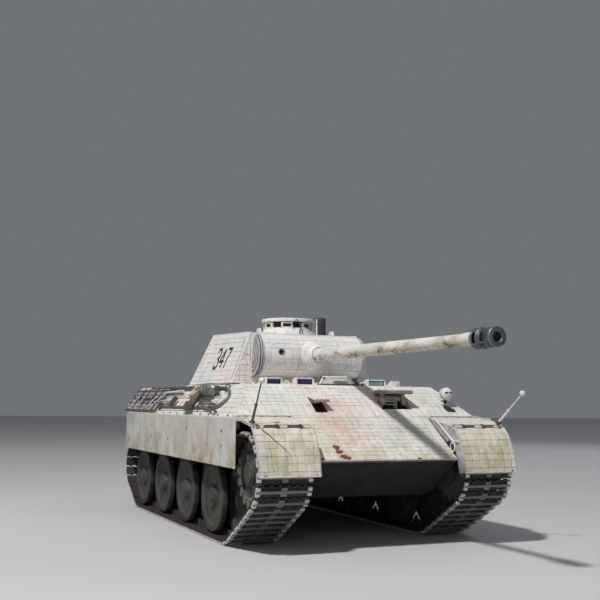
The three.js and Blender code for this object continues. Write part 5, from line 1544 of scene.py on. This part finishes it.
def number():
    """The turret number 347: strokes laid over the coat of each side."""
    glyphs = {
        "3": [[(0.05, 0.82), (0.2, 1), (0.72, 1), (0.95, 0.84), (0.95, 0.64), (0.72, 0.52), (0.42, 0.52)],
              [(0.42, 0.52), (0.74, 0.5), (1, 0.36), (1, 0.15), (0.76, 0), (0.2, 0), (0, 0.18)]],
        "4": [[(0.68, 1), (0, 0.34), (1, 0.34)], [(0.72, 1), (0.72, 0)]],
        "7": [[(0, 1), (1, 1), (0.42, 0.42), (0.36, 0)]],
    }
    for name, side in SIDES:
        place, _, left, right = turret_side(side)
        b = Build(MARK)
        wide, tall, gap = 10.6, 18.6, 3.8
        mid = (left(20) + right(20)) / 2 + (-7 if side > 0 else 8)
        start = mid - (3 * wide + 2 * gap) / 2
        for k, digit in enumerate("347"):
            for stroke in glyphs[digit]:
                pts = [(start + k * (wide + gap) + x * wide, 15.0 + (1 - y) * tall) for x, y in stroke]
                dense = []
                for (ua, va), (ub, vb) in zip(pts, pts[1:]):
                    n = max(2, int(math.hypot(ub - ua, vb - va) / 0.5))
                    dense += [(ua + (ub - ua) * i / n, va + (vb - va) * i / n) for i in range(n)]
                dense.append(pts[-1])
                rows = []
                for i, (u, v) in enumerate(dense):
                    pu, pv = dense[max(i - 1, 0)]
                    nu, nv = dense[min(i + 1, len(dense) - 1)]
                    d = math.hypot(nu - pu, nv - pv) or 1
                    ox, oy = -(nv - pv) / d, (nu - pu) / d
                    half = 1.35 + 0.12 * noise.noise(Vector((u, v, 5)))
                    rows.append([place(u + ox * t * half, v + oy * t * half, 0.66)
                                 for t in (-1, -0.5, 0, 0.5, 1)])
                verts = [p for row in rows for p in row]
                faces = [[i * 5 + j, i * 5 + j + 1, i * 5 + j + 6, i * 5 + j + 5]
                         for i in range(len(rows) - 1) for j in range(4)]
                b.add(verts, faces)
        b.piece(f"turret_number_{name}", "turret", smooth=60, solidify=0.12)


def turret_fittings():
    b = Build(TRIM, BLACK_STEEL, PAINTED_SHADE, TOOLED, GLASS_BLUE)
    # weld beads: the roof's edges and the corners; the seam of the front plate near the front of each side is
    # a dark line of painted shade
    for _, side in SIDES:
        ft, fl, rt, rl = (Vector(flip(p, side)) for p in (FRONT_TOP, FRONT_LOW, REAR_TOP, REAR_LOW))
        lines = [(ft, rt, 0.55), (rt, rl, 0.6), (ft, fl, 0.5)]
        for a, c, r in lines:
            n = int((c - a).length / 1.6)
            b.tube([a.lerp(c, i / n) + Vector((side * 0.1 * math.sin(i * 2.4), 0.1 * math.cos(i * 1.9), 0))
                    for i in range(n + 1)], r, 6)
        place, _, left, right = turret_side(side)
        edge = right if side < 0 else left
        seam = [(5.5, 8.5), (12, 6.5), (20, 3.4), (32, 3.2), (45, 3.0)]
        # painted shade along the seam
        b.use(PAINTED_SHADE)
        for (va, ua), (vb, ub) in zip(seam, seam[1:]):
            end_a = edge(va) + side * ua
            end_b = edge(vb) + side * ub
            b.tube([place(end_a + (end_b - end_a) * i / 8, va + (vb - va) * i / 8, 0.5) for i in range(9)],
                   0.26, 6)
        b.use(TRIM)
    roof_z = turret_roof
    # lifting hooks over the CAD's lugs, roof plugs and the loader's periscope and vents
    for x in (-35, 35):
        z = roof_z(30)
        b.tube([(x, 26, z - 0.2), (x, 26, z + 2.4), (x, 27.6, z + 3.8), (x, 32.4, z + 3.8), (x, 34, z + 2.4),
                (x, 34, z - 0.2)], 0.85, 10)
    b.tube([(38, 112, roof_z(112)), (38, 112, roof_z(112) + 3), (30, 118, roof_z(118) + 3),
            (22, 118, roof_z(118) + 3), (22, 118, roof_z(118))], 0.6, 8)
    b.lathe((-20, 52, roof_z(52) - 0.3), (0, -0.037, 1), [(9.5, 0), (9.5, 1.2), (8.6, 2.0), (4, 2.4),
                                                          (0, 2.5)], 36)
    for k in range(6):
        a = math.tau * k / 6
        b.bolt((-20 + 8.6 * math.cos(a), 52 + 8.6 * math.sin(a), roof_z(52) + 1.4), (0, 0, 1), 0.6, 0.6)
    b.lathe((-26, 96, roof_z(96) - 0.3), (0, -0.037, 1), [(5, 0), (5, 1.8), (4.2, 2.4), (0, 2.5)], 28)
    b.block((-16, -6), (84, 92), (roof_z(88) - 0.3, roof_z(88) + 2.6), 0.6, segments=2)
    b.use(GLASS_BLUE).block((-15, -7), (83.6, 84.6), (roof_z(88) + 0.4, roof_z(88) + 1.9), 0.15)
    b.use(TRIM)
    for x, y in ((-44, 22), (44, 22), (-38, 112), (6, 24), (-8, 112), (40, 70)):
        b.rivet((x, y, roof_z(y)), (0, -0.037, 1), 1.2, 0.7)
    b.use(TOOLED).rod((-47.5, 12, roof_z(12) + 0.6), (-47.0, 36, roof_z(36) + 0.6), 0.65)
    # wire clip on the cupola's front
    b.use(BLACK_STEEL)
    for dx in (-1.2, 1.2):
        b.tube([(20.8 + dx, 65.0, 165.6), (20.8 + dx * 1.2, 65.4, 168.4), (20.8 + dx * 0.4, 67.4, 173.6)],
               0.42, 6)
    b.tube([(20.8, 67.2, 173.4), (19.4, 67.0, 177.6), (16.6, 66.6, 180.2), (13.4, 67.0, 177.4),
            (11.6, 67.4, 174.4)], 0.42, 6)
    b.tube([(20.6, 67.2, 173.8), (25.4, 67.0, 173.6), (30.0, 68.0, 172.2), (33.8, 70.6, 170.6)], 0.38, 6)
    # upright drum beside the cupola
    b.lathe((36.6, 57, roof_z(57) - 0.3), (0, 0, 1), [(5.6, 0), (5.6, 1.2), (4.9, 1.8), (4.9, 15.6),
                                                      (5.2, 16.0), (5.2, 17.6), (4.4, 18.3), (0, 18.5)], 32)
    b.use(TRIM).block((31.4, 32.7), (54.6, 56.2), (roof_z(57), roof_z(57) + 17.0), 0.25)
    # painted shade: a dark band for the gap under the turret's front and its bearing skirt
    b.use(PAINTED_SHADE).lathe((0, 67, ROOF_Z), (0, 0, 1), [(51.6, 0.45), (52.0, 0.5), (52.0, 2.2), (51.6, 2.25)], 64)
    b.piece("turret_fittings", "turret", slot="whitewash_plastic")


def mantlet():
    cy, cz, r = TRUNNION_Y, TRUNNION_Z, MANTLET_R

    def place(u, v, lift):
        a = math.radians(106) + v / r
        return Vector((u, cy + (r + lift) * math.cos(a), cz + (r + lift) * math.sin(a)))

    span = math.radians(148) * r
    front = (math.pi - math.radians(106)) * r
    gun_hole = ((-8.4, 8.4), (front - 8.4, front + 8.4))
    mg = ((-31.9, -27.9), (front - 4.2, front - 0.4))
    coat("mantlet_coat", "gun_cradle", TURRET, place, (0, span), lambda v: -MANTLET_HALF + 4.6,
         lambda v: MANTLET_HALF - 3.2, (gun_hole, mg), seed=61, thick=0.34)
    b = Build(TURRET, PAINTED_SHADE, BLACK_STEEL, EDGE)
    angles = [math.radians(111) + math.radians(157) * i / 40 for i in range(41)]
    b.use(EDGE)
    for x, rr, t in ((-48.9, r - 0.7, 0.8), (-47.2, r + 0.1, 0.75), (-45.4, r + 0.25, 0.6),
                     (48.6, r - 0.5, 0.9), (46.9, r + 0.15, 0.55)):
        b.tube([(x + 0.15 * math.sin(a * 9), cy + rr * math.cos(a), cz + rr * math.sin(a)) for a in angles],
               t, 8)
    # painted shade: dark lines between the rims
    b.use(PAINTED_SHADE)
    for x in (-48.1, -46.3):
        b.tube([(x, cy + (r + 0.12) * math.cos(a), cz + (r + 0.12) * math.sin(a)) for a in angles], 0.34, 6)
    # stepped grey bands on each end, with painted shade in the cuts between them
    for side in (-1, 1):
        x0 = side * (MANTLET_HALF - 0.25)
        for r0, r1, step in ((14.7, 18.1, 0.6), (11.0, 14.0, 0.75), (7.6, 10.4, 0.85), (1.6, 7.0, 0.85)):
            ring = [(x, cy + rr * math.cos(a), cz + rr * math.sin(a)) for a in angles for x, rr in
                    ((x0, r0), (x0, r1), (x0 + side * step, r1 - 0.3), (x0 + side * step, r0 + 0.3))]
            last = len(ring) - 4
            walls = [[k + i, k + (i + 1) % 4, k + 4 + (i + 1) % 4, k + 4 + i]
                     for k in range(0, last, 4) for i in range(4)]
            ends = [[3, 2, 1, 0], [last, last + 1, last + 2, last + 3]]
            b.use(EDGE).add(ring, walls + ends)
        b.use(PAINTED_SHADE)
        for rr in (14.35, 10.7, 7.3):
            b.tube([(x0 + side * 0.3, cy + rr * math.cos(a), cz + rr * math.sin(a)) for a in angles], 0.35, 6)
    # collar of the gun, with its trowelled rings
    b.use(TURRET).lathe((0, -19.6, cz), (0, 1, 0), [(6.25, 0.2), (7.0, -0.1), (7.9, 0.6), (8.5, 2.4),
                                                    (8.4, 3.0), (9.4, 3.5), (9.9, 5.8), (9.8, 6.4),
                                                    (10.9, 7.0), (11.5, 9.4), (12.4, 11.0), (12.8, 13)], 44)
    for k in range(11):
        a = math.radians(12) + math.radians(156) * k / 10
        b.tube([(rr * math.cos(a + 0.05 * i), -18.8 + 2.3 * i, cz + rr * math.sin(a + 0.05 * i)) for i, rr in
                enumerate((7.4, 8.7, 9.9, 11.2))], 0.42, 6)
    b.use(BLACK_STEEL).lathe((-29.9, -9.7, cz + 2.4), (0, -1, 0),
                             [(2.7, -1.2), (2.7, 0.4), (2.2, 0.7), (1.7, 0.5), (1.7, -1)], 24)
    # painted shade in the mouth of the machine-gun port
    b.use(PAINTED_SHADE).lathe((-29.9, -8.0, cz + 2.4), (0, -1, 0), [(1.75, 0), (0, 0.1)], 16)
    b.piece("mantlet_fittings", "gun_cradle", slot="whitewash_plastic")


def gun():
    cz = TRUNNION_Z
    b = Build(BARREL)
    profile = [(0, 52), (3, 52), (3, 3), (5.9, 2), (6.0, -16), (6.05, -24), (6.05, -26.5), (5.9, -27)]
    profile += [(5.9 - (5.9 - 4.75) * t / 12, -27 - 111 * t / 12) for t in range(1, 13)]
    profile += [(4.75, -139), (4.95, -139.4), (4.95, -142), (4.65, -142.6)]
    profile += [(4.65 - 0.6 * t / 10, -142.6 - 92 * t / 10) for t in range(1, 11)]
    profile += [(4.25, -236), (4.45, -238), (4.45, -246.6), (2.3, -246.7)]
    b.lathe((0, 0, cz), (0, -1, 0), [(r, -h) for r, h in profile], 48)
    b.piece("gun_tube", "gun", replaces="gun_barrel", slot="stained_whitewash")

    b = Build(BRAKE)
    seg = 64
    outer = [(4.7, -247), (5.0, -247.4), (6.2, -249.2), (6.75, -250.4), (6.8, -251.4), (6.8, -256.2),
             (6.6, -256.8), (5.7, -257.6), (5.55, -258.4), (5.55, -262.8), (5.8, -263.4), (6.35, -264.4),
             (6.4, -265.4), (6.4, -269.6), (6.1, -270.5)]
    verts, faces = [], []
    for r, y in outer:
        for i in range(seg):
            a = math.tau * i / seg
            verts.append((r * math.cos(a), y, cz + r * math.sin(a)))
    for j in range(len(outer) - 1):
        ym = (outer[j][1] + outer[j + 1][1]) / 2
        for i in range(seg):
            a = math.tau * (i + 0.5) / seg
            side_window = abs(math.sin(a)) < 0.56
            if side_window and (-256.2 < ym < -251.4 or -262.8 < ym < -258.4):
                continue
            k = (i + 1) % seg
            faces.append([j * seg + i, j * seg + k, (j + 1) * seg + k, (j + 1) * seg + i])
    b.add(verts, faces)
    b.piece("muzzle_brake_shell", "gun", replaces="muzzle_brake", slot="dark_steel", solidify=1.5)
    b = Build(BRAKE, PAINTED_SHADE)
    b.lathe((0, -270.5, cz), (0, -1, 0), [(6.1, -0.1), (5.6, 0.15), (3.6, 0.1), (3.1, -0.4), (2.5, -1.6),
                                          (2.4, -4)], 40)
    b.lathe((0, -257, cz), (0, -1, 0), [(5.5, -0.9), (5.5, 0.9), (2.6, 0.6), (2.6, -0.6), (5.5, -0.9)], 36)
    # painted shade: dark discs in the bore of the brake
    b.use(PAINTED_SHADE).lathe((0, -268, cz), (0, -1, 0), [(2.5, 0), (0, 0.1)], 20)
    b.lathe((0, -247.2, cz), (0, -1, 0), [(4.6, 0), (0, 0.1)], 20)
    b.piece("muzzle_brake_core", "gun", slot="dark_steel")


# centre of the cupola, the post its lid swings on, and how far the lid is swung aside at rest
CUPOLA_AT = (18.8, 92.1)
LID_POST = (33.8, 118.1)
LID_SWING = 150


def cupola():
    cx, cy = CUPOLA_AT
    b = Build(TRIM, PAINTED_SHADE, BLACK_STEEL)
    low = turret_roof(cy)
    b.lathe((cx, cy, 0), (0, 0, 1), [(27.4, low - 1.6), (27.0, low + 0.8), (25.6, low + 3.0),
                                     (24.2, low + 5.4), (23.3, 172.0), (22.6, 172.7), (21.0, 173.0)], 72)
    b.tube([(cx + 26.9 * math.cos(a), cy + 26.9 * math.sin(a), turret_roof(cy + 26.9 * math.sin(a)) + 0.2)
            for a in [math.tau * i / 72 for i in range(72)]], 0.6, 6, closed=True)
    # painted shadow: a dark drum under the ring, between the vision blocks
    b.use(PAINTED_SHADE).lathe((cx, cy, 0), (0, 0, 1), [(21.0, 172.0), (21.0, 180)], 56)
    b.use(TRIM).lathe((cx, cy, 0), (0, 0, 1), [(20.8, 178.6), (24.2, 178.2), (25.1, 178.7), (25.4, 179.9),
                                               (25.1, 181.1), (24.0, 181.6), (20, 181.6), (17.4, 181.3),
                                               (16.9, 180.6), (16.8, 176), (17, 162)], 72)
    for k in range(7):
        a = math.tau * (k + 0.5) / 7 - math.pi / 2
        radial = Vector((math.cos(a), math.sin(a), 0))
        side = Vector((-math.sin(a), math.cos(a), 0))
        c = Vector((cx, cy, 0))

        def part(r0, r1, s0, s1, z0, z1, bevel, radial=radial, side=side, c=c):
            b.convex([c + radial * r + side * s + Vector((0, 0, z)) for r in (r0, r1) for s in (s0, s1)
                      for z in (z0, z1)], bevel)

        b.use(TRIM)
        for s in (-1, 1):
            part(20.4, 23.4, s * 4.6 - 0.75, s * 4.6 + 0.75, 172.2, 177.6, 0.3)
        part(20.4, 23.6, -5.2, 5.2, 176.6, 177.8, 0.3)
        part(20.4, 23.2, -4.4, 4.4, 172.2, 173.4, 0.2)
        # painted shade in each vision block's window
        b.use(PAINTED_SHADE)
        part(21.2, 22.0, -3.7, 3.7, 173.4, 176.6, 0.15)
        b.use(BLACK_STEEL)
        part(21.6, 22.3, -3.9, -3.3, 173.2, 176.8, 0.1)
        part(21.6, 22.3, 3.3, 3.9, 173.2, 176.8, 0.1)
        b.use(TRIM)
        mid = math.tau * (k + 1.0) / 7 - math.pi / 2
        b.bolt(c + Vector((25.4 * math.cos(mid), 25.4 * math.sin(mid), low + 3.6)),
               (math.cos(mid), math.sin(mid), 0.7), 1.0, 0.9)
        b.bolt(c + Vector((22.6 * math.cos(mid), 22.6 * math.sin(mid), 181.3)), (0, 0, 1), 0.6, 0.4)
    b.tube([(cx + 24.6 * math.cos(a), cy + 24.6 * math.sin(a), 181.3)
            for a in [math.tau * i / 60 for i in range(31)]], 0.45, 6)
    b.piece("cupola_drum", "turret", replaces="cupola", slot="whitewash_plastic")

    post = Vector((*LID_POST, 0))
    lid_at = Matrix.Rotation(math.radians(-LID_SWING), 3, "Z") @ (Vector((cx, cy, 0)) - post) + post
    b = Build(TRIM, BLACK_STEEL)
    b.lathe((lid_at.x, lid_at.y, 0), (0, 0, 1), [(0, 181.9), (15.6, 182.0), (16.9, 182.3), (17.2, 182.9),
                                                 (16.8, 183.5), (15.4, 183.75), (6, 183.9), (5.4, 184.3),
                                                 (4.4, 184.3), (0, 184.35)], 56)
    handle = ((-7, 5, 183.7), (-7, 5, 184.2), (0, 9, 184.2), (7, 5, 184.2), (7, 5, 183.7))
    b.use(BLACK_STEEL).tube([lid_at + Vector(p) for p in handle], 0.4, 8)
    b.piece("cupola_lid_dish", "cupola_lid", slot="whitewash_plastic")


def rear_hatch():
    turn = Matrix.Rotation(REAR_TILT, 3, "X")
    c = Vector(HATCH_AT)
    out = turn @ Vector((0, 1, 0))
    b = Build(TRIM, BLACK_STEEL)
    b.lathe(c + out * 1.2, out, [(13.6, 0.9), (14.6, 1.5), (14.7, 2.2), (13.8, 2.9), (6, 3.3), (0, 3.4)], 48)
    b.use(BLACK_STEEL)
    b.rod((15.6, 132.9 - 3.2 * 0.345, 142.5 + 3.2 * 0.939), (15.6, 132.9 + 3.2 * 0.345, 142.5 - 3.2 * 0.939),
          1.1)
    for s in (-1, 1):
        p = c + out * 3.6 + turn @ Vector((9, 0, s * 2.6))
        b.convex([p + turn @ Vector((x, y, z)) for x in (-3, 5.6) for y in (0, 0.9) for z in (-0.8, 0.8)],
                 0.2)
    b.tube([c + turn @ Vector((x, y, 0)) for x, y in ((-9, 4), (-9, 6.4), (-3, 6.4), (-3, 4))], 0.55, 8)
    b.piece("rear_hatch_details", "turret_rear_hatch", slot="whitewash_plastic")


# ---- the pieces that stay as the CAD has them ---------------------------------------------------


def paint_frame():
    """Paints and edges of the CAD nodes that are shown as they are."""
    paints = {
        WHITE: ("upper_hull_shell", "engine_deck", "stowage_bin_right", "stowage_bin_left"),
        TRIM: ("driver_hatch", "radio_operator_hatch", "cupola_lid", "turret_rear_hatch"),
        TURRET: ("turret_shell", "mantlet"),
        FENDER: ("fender_flap_right", "fender_flap_left"),
        # lower hull and suspension in near-black as painted shade
        HULL_SHADE: ("lower_hull_tub", "suspension_right", "suspension_left"),
        RUST: ("exhaust_pipes",),
        BLACK_PLASTIC: ("power_switch", "drive_gearbox_right", "drive_gearbox_left", "turret_ring_gear",
                        "recoil_unit"),
        BLUE_WRAP: ("battery_pack",),
        BOARD: ("receiver_board",),
        BRASS: ("turret_pinion",),
        BLACK_STEEL: ("turret_motor",),
    }
    crisp = ("stowage_bin_right", "stowage_bin_left", "cupola_lid", "turret_rear_hatch", "driver_hatch",
             "radio_operator_hatch")
    for material, names in paints.items():
        for name in names:
            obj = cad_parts[name]
            obj.data.materials.clear()
            obj.data.materials.append(material)
            if name in crisp:
                edge = obj.modifiers.new("edge", "BEVEL")
                edge.width = 0.4 * MM
                edge.segments = 2
                edge.limit_method = "ANGLE"
                edge.angle_limit = math.radians(40)


# ---- camera, light and floor --------------------------------------------------------------------


# the camera's place, lens and sensor in mm, and its turn in degrees
CAMERA_AT = (-325.47, -724.01, 101.74)
CAMERA_YAW, CAMERA_PITCH, CAMERA_ROLL = 23.587, 6.396, 0.597
CAMERA_LENS, CAMERA_SENSOR = 55.68, 36.0
# the point that the lights are aimed at, and where the key light comes from
AIM = (0, 0, 100)
KEY_FROM = (-0.60, -0.42, 1.0)
KEY_DISTANCE = 1700


def studio():
    """The photo's camera, three area lights, a dim world and a pale floor."""
    scene = bpy.context.scene
    camera = bpy.data.objects.new("camera", bpy.data.cameras.new("camera"))
    scene.collection.objects.link(camera)
    scene.camera = camera
    camera.data.lens = CAMERA_LENS
    camera.data.sensor_width = CAMERA_SENSOR
    camera.data.clip_start, camera.data.clip_end = 0.02, 20
    yaw, pitch, roll = (math.radians(a) for a in (CAMERA_YAW, CAMERA_PITCH, CAMERA_ROLL))
    forward = Vector((math.sin(yaw) * math.cos(pitch), math.cos(yaw) * math.cos(pitch), math.sin(pitch)))
    right = Vector((math.cos(yaw), -math.sin(yaw), 0))
    up = right.cross(forward)
    right, up = right * math.cos(roll) + up * math.sin(roll), up * math.cos(roll) - right * math.sin(roll)
    turn = Matrix((right, up, -forward)).transposed()
    camera.matrix_world = Matrix.Translation(Vector(CAMERA_AT) * MM) @ turn.to_4x4()

    def area(name, aim, place, size, power, colour):
        light = bpy.data.lights.new(name, "AREA")
        light.shape = "DISK"
        light.size, light.energy, light.color = size, power, colour
        obj = bpy.data.objects.new(name, light)
        scene.collection.objects.link(obj)
        at = Vector(place) * MM
        turned = (at - aim * MM).to_track_quat("Z", "Y").to_matrix()
        obj.matrix_world = Matrix.Translation(at) @ turned.to_4x4()

    middle = Vector(AIM)
    key = Vector(KEY_FROM).normalized() * KEY_DISTANCE
    area("key", middle, middle + key, 0.12, 25, (1.0, 0.975, 0.94))
    area("fill", middle, middle + Vector((-500, -1700, 420)), 1.4, 1.9, (0.93, 0.95, 1.0))
    area("rim", middle, middle + Vector((1300, 900, 900)), 1.2, 3.5, (0.9, 0.95, 1.0))
    world = bpy.data.worlds.new("studio")
    scene.world = world
    world.use_nodes = True
    background = world.node_tree.nodes["Background"]
    background.inputs["Color"].default_value = (0.82, 0.86, 0.92, 1)
    background.inputs["Strength"].default_value = 0.2
    floor_mesh = bpy.data.meshes.new("floor")
    bm = bmesh.new()
    bmesh.ops.create_grid(bm, x_segments=8, y_segments=8, size=6.0)
    bm.to_mesh(floor_mesh)
    bm.free()
    floor = bpy.data.objects.new("floor", floor_mesh)
    scene.collection.objects.link(floor)
    p = Paint("floor_pale", roughness=0.9)
    floor_mesh.materials.append(p.done(p.ramp(p.noise(300, 3),
                                              [(0.3, (0.56, 0.56, 0.57)), (0.7, (0.60, 0.60, 0.60))])))
    scene.view_settings.view_transform = "Standard"


hull_coat()
fenders()
roof()
hatches()
visor()
bow_port()
travel_lock()
headlight()
width_rods()
lower_hull()
tow_cable()
tools()
left_side()
skirts()
tracks()
sprockets()
idlers()
road_wheels()
deck()
rear()
turret_coats()
number()
turret_fittings()
mantlet()
gun()
cupola()
rear_hatch()
paint_frame()
studio()
